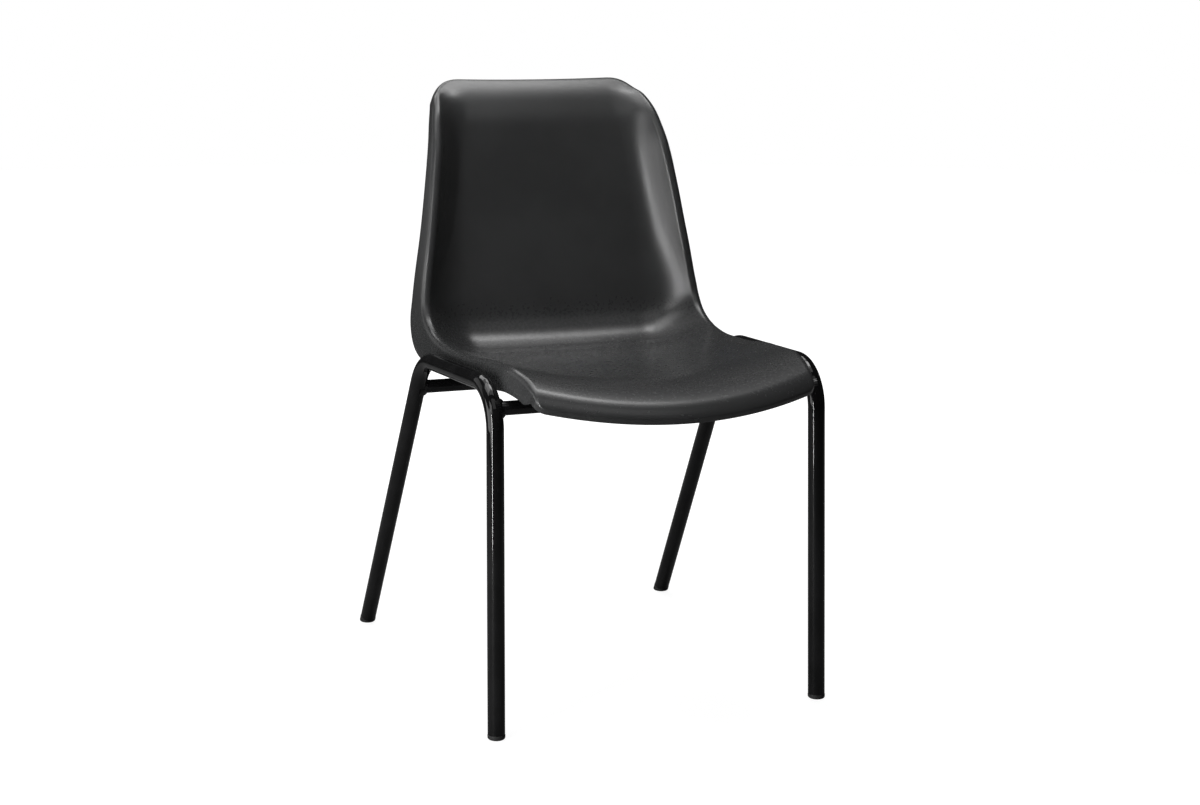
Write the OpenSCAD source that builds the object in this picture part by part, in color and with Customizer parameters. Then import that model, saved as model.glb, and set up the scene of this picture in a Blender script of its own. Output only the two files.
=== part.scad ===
// Stacking chair with a one-piece moulded shell between two bent-tube side frames.
// Millimetres, +Z up, the sitter faces -Y, +X is to the right in a view along +Y.
// The origin is on the floor, under the middle of the whole chair.

/* [Overall] */
// Height of the seat's middle above the floor
seat_h = 434; // [380:1:470]
// Half width of the shell at its widest, to the start of the rolled edge
shell_half_w = 193; // [165:1:198]

/* [Back and seat line] */
// Lean of the back from upright, in degrees
back_lean = 11; // [6:0.5:18]
// Fall of the seat towards the back, in degrees
seat_fall = 2.8; // [0:0.2:6]
// Length of the back line, from where it would meet the seat line to the start of the top curl
back_line = 311; // [240:1:380]
// Length of the seat line, from where it would meet the back line to the start of the front fall
seat_line = 348; // [320:1:380]
// Radius of the bend between seat and back
lumbar_r = 62; // [45:1:90]
// Radius of the backward curl at the top of the back
curl_r = 120; // [80:1:180]
// Angle that the top of the back curls through, in degrees
curl_angle = 34; // [15:1:45]
// Radius of the seat's front fall
fall_r = 150; // [100:1:220]
// Angle that the seat's front falls through, in degrees
fall_angle = 30.6; // [20:0.1:40]
// Radius of the seat's front below the fall, where it turns down further
nose_r = 35; // [30:1:45]
// Angle that the seat's front turns down through below the fall, in degrees
nose_angle = 39.8; // [32:0.1:50]

/* [Shell form] */
// Height of the side wings above the middle of the back
wing_h = 37; // [25:0.5:48]
// Width over which the seat's sides rise to the ridge
dish_w = 100; // [70:1:120]
// Hollow of the back across its width
hollow = 5; // [0:0.5:12]
// Radius of the two top corners
top_corner_r = 34; // [25:1:60]
// Radius of the two front corners
front_corner_r = 8; // [7:0.5:12]
// Rise of the top edge's middle above its corners
top_bow = -3.5; // [-8:0.5:12]
// Reach of the front edge at its middle
front_bow = 37.7; // [20:0.1:45]
// Share of the fall's angle by which that reach slopes down
bow_slope = 1.03; // [0.6:0.01:1.2]
// Thickness of the moulded wall
wall = 4; // [3:0.25:4.75]
// Outer radius of the rolled edge along the top and the sides
roll_r = 8; // [7:0.25:10]
// Outer radius of the rolled edge along the front
lip_r = 5.1; // [5:0.1:8]
// Angle that the front's rolled edge turns through, in degrees
lip_turn = 54; // [40:1:80]
// Length over which the sides' rolled edge thins down to the front's
lip_taper = 30; // [20:1:60]
// Depth of the turned-down flank along the sides of the seat
flank_d = 20; // [14:0.5:24]
// Depth of the turned-down front edge below its roll
lip_d = 5.6; // [3:0.1:8]

/* [Bosses and fasteners] */
// Distance between the left and right screws
screw_span = 190; // [150:1:240]
// Outer diameter of the moulded screw bosses
boss_d = 18; // [15:0.5:24]
// Outer diameter of the threaded inserts
insert_d = 8; // [7:0.25:9]
// Length of the threaded inserts
insert_l = 9; // [6:0.5:11]
// Screw shank diameter
screw_d = 6; // [5:0.5:6]
// Screw head diameter
head_d = 12; // [10:0.5:13]
// Screw head height
head_h = 3.6; // [2.5:0.1:5]
// Reach of the screw's shank above the tab
screw_reach = 7; // [5:0.5:9]
// Washer outer diameter
washer_d = 14; // [12.5:0.5:18]
// Washer thickness
washer_t = 1.2; // [0.8:0.1:2]

/* [Side frames] */
// Outer diameter of the side tubes
tube_d = 22; // [20:0.5:24]
// Wall of the side tubes
tube_wall = 1.5; // [1:0.1:2.5]
// Gap between the shell's sides and the rails
frame_gap = 14.4; // [11:0.1:25]
// Angle by which each side frame opens to the rear, in degrees
toe_out = 1.5; // [0:0.1:1.7]
// Angle by which each side frame leans in towards the top, in degrees
lean_in = 0.7; // [0:0.1:0.9]
// Lean of the front legs to the rear, in degrees
front_rake = 2.3; // [0:0.1:6]
// Rake of the rear legs, in degrees from upright
rear_rake = 29.75; // [24:0.05:33]
// Height of the rail's front corner above the middle of the seat, on the tube's centre line
rail_rise = 9.7; // [0:0.1:15]
// Fall of the rail from its front corner to its rear corner
rail_fall = 8.1; // [0:0.1:15]
// Centre-line radius of the front bend
front_bend_r = 56; // [45:1:65]
// Centre-line radius of the rear bend
rear_bend_r = 69; // [50:1:72]

/* [Crossbars] */
// Outer diameter of the crossbars
bar_d = 18; // [16:0.5:20]
// Wall of the crossbars
bar_wall = 1.5; // [1:0.1:2]
// Depth of the front crossbar's centre below the middle of the seat
front_bar_drop = 19; // [17:0.5:28]
// Depth of the rear crossbar's centre below the middle of the seat
rear_bar_drop = 41; // [36:0.5:54]
// Size of the weld beads
weld = 3; // [2:0.25:4]

/* [Tabs] */
// Width of the screw tabs
tab_w = 26; // [22:0.5:34]
// Thickness of the screw tabs
tab_t = 3; // [2:0.25:4]
// Distance of the screws from the crossbar's centre line
tab_reach = 21; // [19:0.5:26]
// Height of the front tabs' top above the crossbar's centre
front_tab_rise = 6; // [3:0.25:7]
// Height of the rear tabs' top above the crossbar's centre
rear_tab_rise = 7; // [3:0.25:7.5]
// Hole in the tabs
tab_hole_d = 6.6; // [6.2:0.1:8]

/* [Feet] */
// Outer diameter of the foot plugs' heads
foot_d = 22.6; // [20.5:0.1:25]
// Height of the front plugs' heads, along the leg
front_foot_h = 6; // [4:0.5:12]
// Height of the rear plugs' heads, along the leg
rear_foot_h = 10; // [8.5:0.5:16]
// Length of the plugs' ribbed shanks inside the tubes
foot_shank_l = 20; // [12:1:30]

/* [Hidden] */

SHELL_GREY = [0.16, 0.165, 0.165];
FRAME_BLACK = [0.03, 0.03, 0.03];
FOOT_BLACK = [0.07, 0.07, 0.07];
STEEL = [0.7, 0.7, 0.68];
BRASS = [0.75, 0.6, 0.3];

// Joint play between parts that slide into each other
play = 0.1;
// Overrun of every cut
over = 2;
// Facets of round solids
round_fn = 96;

// Small helpers
function mix(a, b, t) = a + (b - a) * t;
function clamp01(t) = min(max(t, 0), 1);
function ease(t) = let (c = clamp01(t)) c * c * (3 - 2 * c);
function unit(v) = v / norm(v);
function dot(a, b) = a * b;
function rad(a) = a * PI / 180;

// A smooth curve through a table of [place share, value share] rows
function table_slope(rows, i) =
    i <= 0 || i >= len(rows) - 1 ? 0
    : (rows[i + 1][1] - rows[i - 1][1]) / (rows[i + 1][0] - rows[i - 1][0]);
function hermite(p, q, mp, mq, w, t) =
    p * (1 + 2 * t) * (1 - t) * (1 - t) + mp * w * t * (1 - t) * (1 - t)
    + q * t * t * (3 - 2 * t) + mq * w * t * t * (t - 1);
function curve(rows, u, i = 0) =
    u <= rows[0][0] ? rows[0][1]
    : i >= len(rows) - 1 ? rows[len(rows) - 1][1]
    : u > rows[i + 1][0] ? curve(rows, u, i + 1)
    : let (w = rows[i + 1][0] - rows[i][0], t = (u - rows[i][0]) / w)
      hermite(rows[i][1], rows[i + 1][1], table_slope(rows, i), table_slope(rows, i + 1), w, t);

// The shell's centre line, seen from the side, runs from the top of the back to the front of the seat.
// Its heading is the angle from straight down towards straight ahead.
back_heading = back_lean;
seat_heading = 90 + seat_fall;
top_heading = back_lean + curl_angle;
fall_heading = seat_heading - fall_angle;
nose_heading = fall_heading - nose_angle;
lumbar_turn = seat_heading - back_heading;
lumbar_tangent = lumbar_r * tan(lumbar_turn / 2);
function along(h) = [-sin(h), -cos(h)];
function square(h) = [-cos(h), sin(h)];
function arc_step(h0, h1, r) =
    let (k = h1 > h0 ? r : -r) k * [cos(h1) - cos(h0), sin(h0) - sin(h1)];

// Lengths of the centre line's six stretches. Shares of the line are taken up to the fall's end.
curl_len = curl_r * rad(curl_angle);
back_len = back_line - lumbar_tangent;
lumbar_len = lumbar_r * rad(lumbar_turn);
seat_len = seat_line - lumbar_tangent;
fall_len = fall_r * rad(fall_angle);
back_at = curl_len;
lumbar_at = back_at + back_len;
seat_at = lumbar_at + lumbar_len;
fall_at = seat_at + seat_len;
nose_len = nose_r * rad(nose_angle);
line_len = fall_at + fall_len;
whole_len = line_len + nose_len;

// The point where seat line and back line would meet
hip_y_share = 0.3;
hip_y = seat_line * hip_y_share;
hip_h = seat_h - (seat_line / 2) * sin(seat_fall);
hip = [hip_y, hip_h];
lumbar_start = hip - lumbar_tangent * along(back_heading);
back_start = hip - back_line * along(back_heading);
top_start = back_start - arc_step(top_heading, back_heading, curl_r);
seat_start = hip + lumbar_tangent * along(seat_heading);
fall_start = hip + seat_line * along(seat_heading);
nose_start = fall_start + arc_step(seat_heading, fall_heading, fall_r);

function heading(s) =
    s <= 0 ? top_heading
    : s < back_at ? mix(top_heading, back_heading, s / curl_len)
    : s < lumbar_at ? back_heading
    : s < seat_at ? mix(back_heading, seat_heading, (s - lumbar_at) / lumbar_len)
    : s < fall_at ? seat_heading
    : s < line_len ? mix(seat_heading, fall_heading, (s - fall_at) / fall_len)
    : mix(fall_heading, nose_heading, (s - line_len) / nose_len);
function centre(s) =
    s < back_at ? top_start + arc_step(top_heading, heading(s), curl_r) + min(s, 0) * along(top_heading)
    : s < lumbar_at ? back_start + (s - back_at) * along(back_heading)
    : s < seat_at ? lumbar_start + arc_step(back_heading, heading(s), lumbar_r)
    : s < fall_at ? seat_start + (s - seat_at) * along(seat_heading)
    : s < line_len ? fall_start + arc_step(seat_heading, heading(s), fall_r)
    : nose_start + arc_step(fall_heading, heading(s), nose_r);

// The direction in which wings and ridges rise: it turns more slowly than the centre line does
rib_turn_shares = [0.255, 0.69];
function rib_heading(s) =
    s < back_at || s > fall_at ? heading(s)
    : mix(back_heading, seat_heading,
          ease((s / line_len - rib_turn_shares[0]) / (rib_turn_shares[1] - rib_turn_shares[0])));

// Shares of the half width, wing height and dish width along the centre line
width_shares = [[0, 0.763], [0.1, 0.825], [0.25, 0.915], [0.4, 1.003], [0.5, 1.014], [0.56, 1.014],
                [0.65, 1.005], [0.75, 0.992], [0.85, 0.983], [0.93, 0.976], [1, 0.946], [1.06, 0.958]];
wing_shares = [[0, 0], [0.02, 0.02], [0.04, 0.22], [0.08, 0.57], [0.13, 0.86], [0.2, 0.92], [0.3, 0.89],
               [0.38, 0.84], [0.45, 1], [0.5, 0.96], [0.56, 0.62], [0.62, 0.43], [0.7, 0.385],
               [0.8, 0.335], [0.88, 0.1], [0.94, 0], [1, 0]];
dish_shares = [[0, 0.45], [0.2, 0.46], [0.3, 0.54], [0.45, 0.66], [0.56, 0.82], [0.7, 1], [1, 1]];

function corner_loss(e, r) = e >= r ? 0 : r - sqrt(max(0, r * r - (r - e) * (r - e)));
function half_width(s) =
    shell_half_w * curve(width_shares, s / line_len)
    - corner_loss(s, top_corner_r) - corner_loss(whole_len - s, front_corner_r);
function wing_height(s) = wing_h * curve(wing_shares, s / line_len);
function dish_width(s) = dish_w * curve(dish_shares, s / line_len);

// The upper surface: s runs along the centre line, x across it
bow_fade_shares = [0.15, 0.3];
function skin_point(s, x) =
    let (
        across = pow(x / shell_half_w / curve(width_shares, s / line_len), 2),
        bowed = s + top_bow * across * ease(1 - s / line_len / bow_fade_shares[0]),
        pull = front_bow * across * ease(1 - (1 - s / line_len) / bow_fade_shares[1]),
        inset = max(0, half_width(s) - abs(x)),
        rise = clamp01(1 - inset / dish_width(s)),
        h = wing_height(s) * rise * rise + hollow * (x / shell_half_w) * (x / shell_half_w)
            * ease(4 * s / line_len),
        flat = centre(bowed) - pull * along(seat_heading - bow_slope * fall_angle)
               + h * square(rib_heading(bowed))
    )
    [x, flat[0], flat[1]];

// Grid of the upper surface: rows along the centre line, columns across
line_row_shares = [0, 0.003, 0.01, 0.021, 0.036, 0.054, 0.078, 0.11, 0.15, 0.2, 0.26, 0.32, 0.36,
                   0.395, 0.425, 0.45, 0.475, 0.5, 0.525, 0.555, 0.59, 0.64, 0.71, 0.78, 0.85, 0.9,
                   0.935, 0.96, 0.98, 1];
corner_row_shares = [1, 0.6, 0.3, 0.1, 0.02, 0];
corner_at = whole_len - front_corner_r;
row_places = concat(
    [for (q = line_row_shares) q * line_len],
    [(line_len + corner_at) / 2],
    [for (q = corner_row_shares) whole_len - q * front_corner_r]);
row_count = len(row_places) - 1;
col_count = 24;
roll_steps = 5;
probe_share = 0.0008;
probe = line_len * probe_share;

function col_x(i, j) = half_width(row_places[i]) * sin(90 * (2 * j / col_count - 1));
function face_out(s, x) =
    let (
        ds = s < line_len / 2 ? probe : -probe,
        dx = x > 0 ? -probe : probe,
        a = (skin_point(s + ds, x) - skin_point(s, x)) / ds,
        b = (skin_point(s, x + dx) - skin_point(s, x)) / dx
    )
    unit(cross(a, b));

grid = [for (i = [0 : row_count]) [for (j = [0 : col_count]) skin_point(row_places[i], col_x(i, j))]];
grid_out = [for (i = [0 : row_count]) [for (j = [0 : col_count]) face_out(row_places[i], col_x(i, j))]];

// The rim: grid places in order round the edge, from the left end of the top edge
rim = concat(
    [for (j = [0 : col_count]) [0, j]],
    [for (i = [1 : row_count]) [i, col_count]],
    [for (j = [col_count - 1 : -1 : 0]) [row_count, j]],
    [for (i = [row_count - 1 : -1 : 1]) [i, 0]]);
rim_count = len(rim);

// Edge profile round the rim: tables by share of the centre line
flank_shares = [[0, 0.52], [0.05, 0.52], [0.13, 0.73], [0.235, 0.95], [0.32, 1.16], [0.38, 1.37],
                [0.41, 1.58], [0.44, 2], [0.47, 2.2], [0.5, 2], [0.53, 1.68], [0.56, 1.4],
                [0.6, 1.09], [0.65, 0.87], [0.88, 1.255], [0.94, 1.16], [1, 1.06]];
tilt_table = [[0, 6], [0.2, 7], [0.44, 7], [0.5, 6], [0.65, 4], [1, 1.2]];
top_tilt = 10;
function rim_value(k) =
    let (
        i = rim[k][0],
        s = row_places[i],
        middle = 1 - abs(2 * rim[k][1] / col_count - 1),
        slope = atan(2 * wing_height(s) / dish_width(s)),
        near = clamp01(1 - (whole_len - s) / lip_taper),
        side_tilt = curve(tilt_table, s / line_len),
        at_top = i == 0 ? ease(middle) : 0,
        tilt = side_tilt + (90 - lip_turn - side_tilt) * ease(2 * near - 1)
               + (top_tilt - side_tilt) * at_top,
        flank = mix(flank_d * curve(flank_shares, s / line_len), lip_d, near)
    )
    [mix(roll_r, lip_r, near), slope + 90 - tilt, flank];

function grid_at(k) = let (q = rim[(k + rim_count) % rim_count]) grid[q[0]][q[1]];
function rim_frame(k) =
    let (
        q = rim[k],
        n = grid_out[q[0]][q[1]],
        run = unit(grid_at(k + 1) - grid_at(k - 1)),
        up = unit(n - dot(n, run) * run)
    )
    [up, cross(up, run)];

// One point of the edge profile: ring 0 lies on the rim, the rings up to roll_steps follow the roll,
// and the last ring is the flank's free edge
function edge_point(k, ring, inner) =
    let (
        v = rim_value(k),
        f = rim_frame(k),
        turn = v[1] * min(ring, roll_steps) / roll_steps,
        out = cos(turn) * f[0] + sin(turn) * f[1],
        down = cos(turn) * f[1] - sin(turn) * f[0],
        hub = grid_at(k) - v[0] * f[0]
    )
    hub + (v[0] - (inner ? wall : 0)) * out + (ring > roll_steps ? v[2] : 0) * down;

ring_count = roll_steps + 1;
shell_top = [for (row = grid) each row];
shell_under = [for (i = [0 : row_count]) for (j = [0 : col_count]) grid[i][j] - wall * grid_out[i][j]];
shell_edge_top = [for (m = [1 : ring_count]) for (k = [0 : rim_count - 1]) edge_point(k, m, false)];
shell_edge_under = [for (m = [1 : ring_count]) for (k = [0 : rim_count - 1]) edge_point(k, m, true)];
shell_points = concat(shell_top, shell_edge_top, shell_under, shell_edge_under);

grid_size = (row_count + 1) * (col_count + 1);
side_size = grid_size + ring_count * rim_count;
function grid_index(q) = q[0] * (col_count + 1) + q[1];
function ring_index(m, k) =
    let (w = k % rim_count) m == 0 ? grid_index(rim[w]) : grid_size + (m - 1) * rim_count + w;
function quad(a, b, c, d, mirrored, flip, shift) =
    let (q = [a + shift, b + shift, c + shift, d + shift],
         t = mirrored ? [[q[0], q[1], q[2]], [q[0], q[2], q[3]]] : [[q[0], q[1], q[3]], [q[1], q[2], q[3]]])
    flip ? [for (f = t) [f[2], f[1], f[0]]] : t;
function skin(flip, shift) = concat(
    [for (i = [0 : row_count - 1]) for (j = [0 : col_count - 1])
        each quad(grid_index([i, j]), grid_index([i, j + 1]),
                  grid_index([i + 1, j + 1]), grid_index([i + 1, j]),
                  j < col_count / 2, flip, shift)],
    [for (m = [0 : ring_count - 1]) for (k = [0 : rim_count - 1])
        each quad(ring_index(m + 1, k), ring_index(m + 1, k + 1), ring_index(m, k + 1), ring_index(m, k),
                  grid_at(k)[0] + grid_at(k + 1)[0] < 0, flip, shift)]);
shell_faces = concat(
    skin(false, 0),
    skin(true, side_size),
    [for (k = [0 : rim_count - 1])
        each quad(ring_index(ring_count, k) + side_size, ring_index(ring_count, k + 1) + side_size,
                  ring_index(ring_count, k + 1), ring_index(ring_count, k), k % 2 == 0, false, 0)]);

// Side frame outline in its own plane: u along the depth, v up. The rail's two corners lie at
// set shares of the seat line in front of the hip, and the legs run down from them.
rail_corner_shares = [1.01, 0.2546];
rail_front_h = seat_h + rail_rise;
rail_rear_h = rail_front_h - rail_fall;
front_top = [hip_y - seat_line * rail_corner_shares[0], rail_front_h];
rear_top = [hip_y - seat_line * rail_corner_shares[1], rail_rear_h];
front_foot_u = front_top[0] - rail_front_h * tan(front_rake);
rear_foot_u = rear_top[0] + rail_rear_h * tan(rear_rake);
foot_span = rear_foot_u - front_foot_u;
rail_angle = atan2(rear_top[1] - front_top[1], rear_top[0] - front_top[0]);
front_turn = 90 - front_rake - rail_angle;
rear_turn = 90 - rear_rake + rail_angle;
front_tangent = front_bend_r * tan(front_turn / 2);
rear_tangent = rear_bend_r * tan(rear_turn / 2);
front_leg_len = rail_front_h / cos(front_rake) - front_tangent;
rear_leg_len = rail_rear_h / cos(rear_rake) - rear_tangent;
rail_len = norm(rear_top - front_top) - front_tangent - rear_tangent;
tube_r = tube_d / 2;
bore_r = tube_r - tube_wall;

// Half the distance between the side frames at floor level
frame_half_w = shell_half_w + roll_r + frame_gap + tube_r + rail_front_h * sin(lean_in);

// The whole chair is centred on the origin
shell_front_y = min([for (p = shell_points) p[1]]);
rear_heel_y = rear_foot_u * cos(toe_out) + foot_d / 2 / cos(rear_rake);
centre_shift = -(shell_front_y + rear_heel_y) / 2;

// Crossbars, tabs and screws
bar_r = bar_d / 2;
front_bend_centre = front_top + front_tangent * [sin(-front_rake), -cos(front_rake)]
                    + front_bend_r * [cos(front_rake), -sin(front_rake)];
front_bar_h = seat_h - front_bar_drop;
rear_bar_h = seat_h - rear_bar_drop;
front_bar_u = front_bend_centre[0] - sqrt(pow(front_bend_r, 2) - pow(front_bar_h - front_bend_centre[1], 2));
rear_bar_u = rear_foot_u - rear_bar_h * tan(rear_rake);
front_screw = [screw_span / 2, front_bar_u + tab_reach, front_bar_h + front_tab_rise];
rear_screw = [screw_span / 2, rear_bar_u - tab_reach, rear_bar_h + rear_tab_rise];
boss_top_shift = wall / 2;

module in_place() {
    translate([0, centre_shift, 0]) children();
}

// Puts a side frame's plane in place: side is 1 for the right frame and -1 for the left
module side_place(side) {
    translate([side * frame_half_w, 0, 0])
        rotate([0, -side * lean_in, 0])
            rotate([0, 0, -side * toe_out])
                children();
}

// Round rods of one radius along the side frame's centre line. The straight stretches reach a
// hair into the bends, and the tube is a hair slimmer where it is bent.
bend_lap = 0.5;
bend_thinning = 0.1;

module leg_rod(r, foot, rake, cut, len) {
    translate([0, foot, 0])
        rotate([rake, 0, 0])
            translate([0, 0, cut]) cylinder(h = len + bend_lap - cut, r = r, $fn = round_fn);
}

module bend_rod(r, bend_r, corner, start, turn, tangent) {
    direction = [cos(start), sin(start)];
    hub = corner - tangent * direction + bend_r * [sin(start), -cos(start)];
    translate([0, hub[0], hub[1]])
        rotate([90, 0, 90])
            rotate([0, 0, start + 90 - turn])
                rotate_extrude(angle = turn, $fn = 2 * round_fn)
                    translate([bend_r, 0]) circle(r = r - bend_thinning, $fn = round_fn);
}

module front_rod(r, over_end) {
    leg_rod(r, front_foot_u, -front_rake, front_foot_h - over_end, front_leg_len);
    bend_rod(r, front_bend_r, front_top, 90 - front_rake, front_turn, front_tangent);
}

module rear_rod(r, over_end) {
    leg_rod(r, rear_foot_u, rear_rake, rear_foot_h - over_end, rear_leg_len);
    bend_rod(r, rear_bend_r, rear_top, rail_angle, rear_turn, rear_tangent);
}

module rail_rod(r) {
    start = front_top + (front_tangent - bend_lap) * [cos(rail_angle), sin(rail_angle)];
    translate([0, start[0], start[1]])
        rotate([rail_angle - 90, 0, 0]) cylinder(h = rail_len + 2 * bend_lap, r = r, $fn = round_fn);
}

module frame_rod(r, over_end) {
    front_rod(r, over_end);
    rail_rod(r);
    rear_rod(r, over_end);
}

module side_tube(side) {
    color(FRAME_BLACK)
        in_place()
            side_place(side)
                difference() {
                    frame_rod(tube_r, 0);
                    frame_rod(bore_r, over);
                }
}

module left_side_tube() {
    side_tube(-1);
}

module right_side_tube() {
    side_tube(1);
}

// A crossbar between the side frames, its ends cut to the tubes they meet
module crossbar(y, z, front) {
    color(FRAME_BLACK)
        in_place()
            difference() {
                bar_rod(y, z, bar_r, 0);
                bar_rod(y, z, bar_r - bar_wall, over);
                for (side = [-1, 1]) side_place(side) {
                    if (front) front_rod(tube_r, 0);
                    else rear_rod(tube_r, 0);
                    side_cut(side);
                }
            }
}

// A round rod along a crossbar's axis, out to the side frames' middles
module bar_rod(y, z, r, over_end) {
    translate([-frame_half_w - over_end, y, z])
        rotate([0, 90, 0]) cylinder(h = 2 * (frame_half_w + over_end), r = r, $fn = round_fn);
}

// Everything outboard of a side frame's centre plane
module side_cut(side) {
    translate([side < 0 ? -foot_span : 0, -foot_span, 0])
        cube([foot_span, 2 * foot_span, 2 * rail_front_h]);
}

module front_crossbar() {
    crossbar(front_bar_u, front_bar_h, true);
}

module rear_crossbar() {
    crossbar(rear_bar_u, rear_bar_h, false);
}

// A weld bead round a crossbar's end, following the side tube's curve.
// slant is the side tube's angle from upright where the crossbar meets it.
bead_steps = 16;
bead_sides = 6;
function bead_centre(a, slant) =
    let (
        ring = bar_r + weld / 4,
        across = ring * sin(a - slant),
        depth = tube_r - sqrt(max(0, tube_r * tube_r - across * across))
    )
    [depth - tube_r - weld / 4, ring * sin(a), ring * cos(a)];

module weld_bead(side, y, z, x, slant, front) {
    points = [for (i = [0 : bead_steps - 1])
        let (a = 360 * i / bead_steps, c = bead_centre(a, slant), out = [0, sin(a), cos(a)])
            for (k = [0 : bead_sides - 1])
                let (b = 360 * k / bead_sides)
                    c + weld * (cos(b) * out + sin(b) * [1, 0, 0])];
    faces = [for (i = [0 : bead_steps - 1]) for (k = [0 : bead_sides - 1])
        let (i2 = (i + 1) % bead_steps, k2 = (k + 1) % bead_sides,
             a = i * bead_sides + k, b = i * bead_sides + k2,
             c = i2 * bead_sides + k2, d = i2 * bead_sides + k)
            each [[a, b, c], [a, c, d]]];
    color(FRAME_BLACK)
        in_place()
            difference() {
                mirror([side < 0 ? 1 : 0, 0, 0]) translate([x, y, z]) polyhedron(points, faces);
                side_place(side)
                    if (front) front_rod(tube_r, 0);
                    else rear_rod(tube_r, 0);
                bar_rod(y, z, bar_r, 0);
            }
}

// Half distance between the side tubes' centres at a place on their plane
function frame_x(u, v) = frame_half_w + u * sin(toe_out) - v * sin(lean_in);
front_weld_x = frame_x(front_bar_u, front_bar_h);
rear_weld_x = frame_x(rear_bar_u, rear_bar_h);
front_slant = asin((front_bar_h - front_bend_centre[1]) / front_bend_r);

module front_left_weld() {
    weld_bead(-1, front_bar_u, front_bar_h, front_weld_x, front_slant, true);
}

module front_right_weld() {
    weld_bead(1, front_bar_u, front_bar_h, front_weld_x, front_slant, true);
}

module rear_left_weld() {
    weld_bead(-1, rear_bar_u, rear_bar_h, rear_weld_x, -rear_rake, false);
}

module rear_right_weld() {
    weld_bead(1, rear_bar_u, rear_bar_h, rear_weld_x, -rear_rake, false);
}

// A flat tab welded to a crossbar, round at its free end, with the screw hole
module tab(x, bar_y, bar_z, screw) {
    facing = screw[1] > bar_y ? 1 : -1;
    color(FRAME_BLACK)
        in_place()
            difference() {
                translate([x, screw[1], screw[2] - tab_t]) linear_extrude(tab_t) difference() {
                    union() {
                        circle(d = tab_w, $fn = round_fn);
                        translate([-tab_w / 2, facing > 0 ? -tab_reach : 0]) square_size(tab_w, tab_reach);
                    }
                    circle(d = tab_hole_d, $fn = round_fn);
                }
                bar_rod(bar_y, bar_z, bar_r, 0);
            }
}

module square_size(w, h) {
    polygon([[0, 0], [w, 0], [w, h], [0, h]]);
}

module front_left_tab() {
    tab(-front_screw[0], front_bar_u, front_bar_h, front_screw);
}

module front_right_tab() {
    tab(front_screw[0], front_bar_u, front_bar_h, front_screw);
}

module rear_left_tab() {
    tab(-rear_screw[0], rear_bar_u, rear_bar_h, rear_screw);
}

module rear_right_tab() {
    tab(rear_screw[0], rear_bar_u, rear_bar_h, rear_screw);
}

// Everything that repeats at the four screws
module at_screws() {
    for (side = [-1, 1]) for (p = [front_screw, rear_screw])
        translate([side * p[0], p[1], p[2]]) children();
}

// Height of the seat's upper face at a place x, y: the place along the line is found in three steps
seat_steps = 3;
function seat_s(x, y, n) =
    n == 0 ? seat_at + (seat_start[0] - y) / cos(seat_fall)
    : let (s = seat_s(x, y, n - 1)) s + (skin_point(s, x)[1] - y) / cos(seat_fall);
function seat_z(x, y) = skin_point(seat_s(x, y, seat_steps), x)[2];
insert_sink = 0.5;
hole_l = screw_reach + insert_l / 2;

module shell() {
    color(SHELL_GREY)
        in_place()
            difference() {
                union() {
                    polyhedron(shell_points, shell_faces);
                    for (side = [-1, 1]) for (p = [front_screw, rear_screw])
                        translate([side * p[0], p[1], p[2]])
                            cylinder(h = seat_z(p[0], p[1]) - boss_top_shift - p[2], d = boss_d, $fn = round_fn);
                }
                at_screws() {
                    translate([0, 0, -over])
                        cylinder(h = over + insert_sink + insert_l, d = insert_d, $fn = round_fn);
                    cylinder(h = hole_l, d = screw_d + 2 * play, $fn = round_fn);
                }
            }
}

module threaded_inserts() {
    color(BRASS)
        in_place()
            at_screws()
                translate([0, 0, insert_sink]) difference() {
                    cylinder(h = insert_l, d = insert_d, $fn = round_fn);
                    translate([0, 0, -over]) cylinder(h = insert_l + 2 * over, d = screw_d, $fn = round_fn);
                }
}

// Pan-head screws, driven from below
head_taper_share = 0.7;
socket_d_share = 0.42;
socket_depth_share = 0.6;
module screws() {
    color(STEEL)
        in_place()
            at_screws()
                translate([0, 0, -tab_t - washer_t]) {
                    cylinder(h = tab_t + washer_t + screw_reach, d = screw_d, $fn = round_fn);
                    translate([0, 0, -head_h]) difference() {
                        cylinder(h = head_h, d1 = head_d * head_taper_share, d2 = head_d, $fn = round_fn);
                        translate([0, 0, -over])
                            cylinder(h = over + head_h * socket_depth_share, d = head_d * socket_d_share, $fn = 6);
                    }
                }
}

module washers() {
    color(STEEL)
        in_place()
            at_screws()
                translate([0, 0, -tab_t - washer_t]) difference() {
                    cylinder(h = washer_t, d = washer_d, $fn = round_fn);
                    translate([0, 0, -over])
                        cylinder(h = washer_t + 2 * over, d = screw_d + 4 * play, $fn = round_fn);
                }
}

// A foot plug: a head that stands on the floor and a shank with grip rings inside the tube
shank_r_share = 0.8;
ring_gap_share = 0.28;
ring_t_share = 0.1;
module foot(side, place, rake, head) {
    color(FOOT_BLACK)
        in_place()
            intersection() {
                side_place(side) translate([0, place, 0]) rotate([rake, 0, 0]) {
                    translate([0, 0, -foot_d]) cylinder(h = foot_d + head, d = foot_d, $fn = round_fn);
                    translate([0, 0, head])
                        cylinder(h = foot_shank_l, r = bore_r * shank_r_share, $fn = round_fn);
                    for (i = [1 : 3]) translate([0, 0, head + foot_shank_l * ring_gap_share * i])
                        cylinder(h = foot_shank_l * ring_t_share, r = bore_r, $fn = round_fn);
                }
                translate([-foot_span, -foot_span, 0]) cube([2 * foot_span, 2 * foot_span, 2 * foot_span]);
            }
}

module front_left_foot() {
    foot(-1, front_foot_u, -front_rake, front_foot_h);
}

module front_right_foot() {
    foot(1, front_foot_u, -front_rake, front_foot_h);
}

module rear_left_foot() {
    foot(-1, rear_foot_u, rear_rake, rear_foot_h);
}

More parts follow.
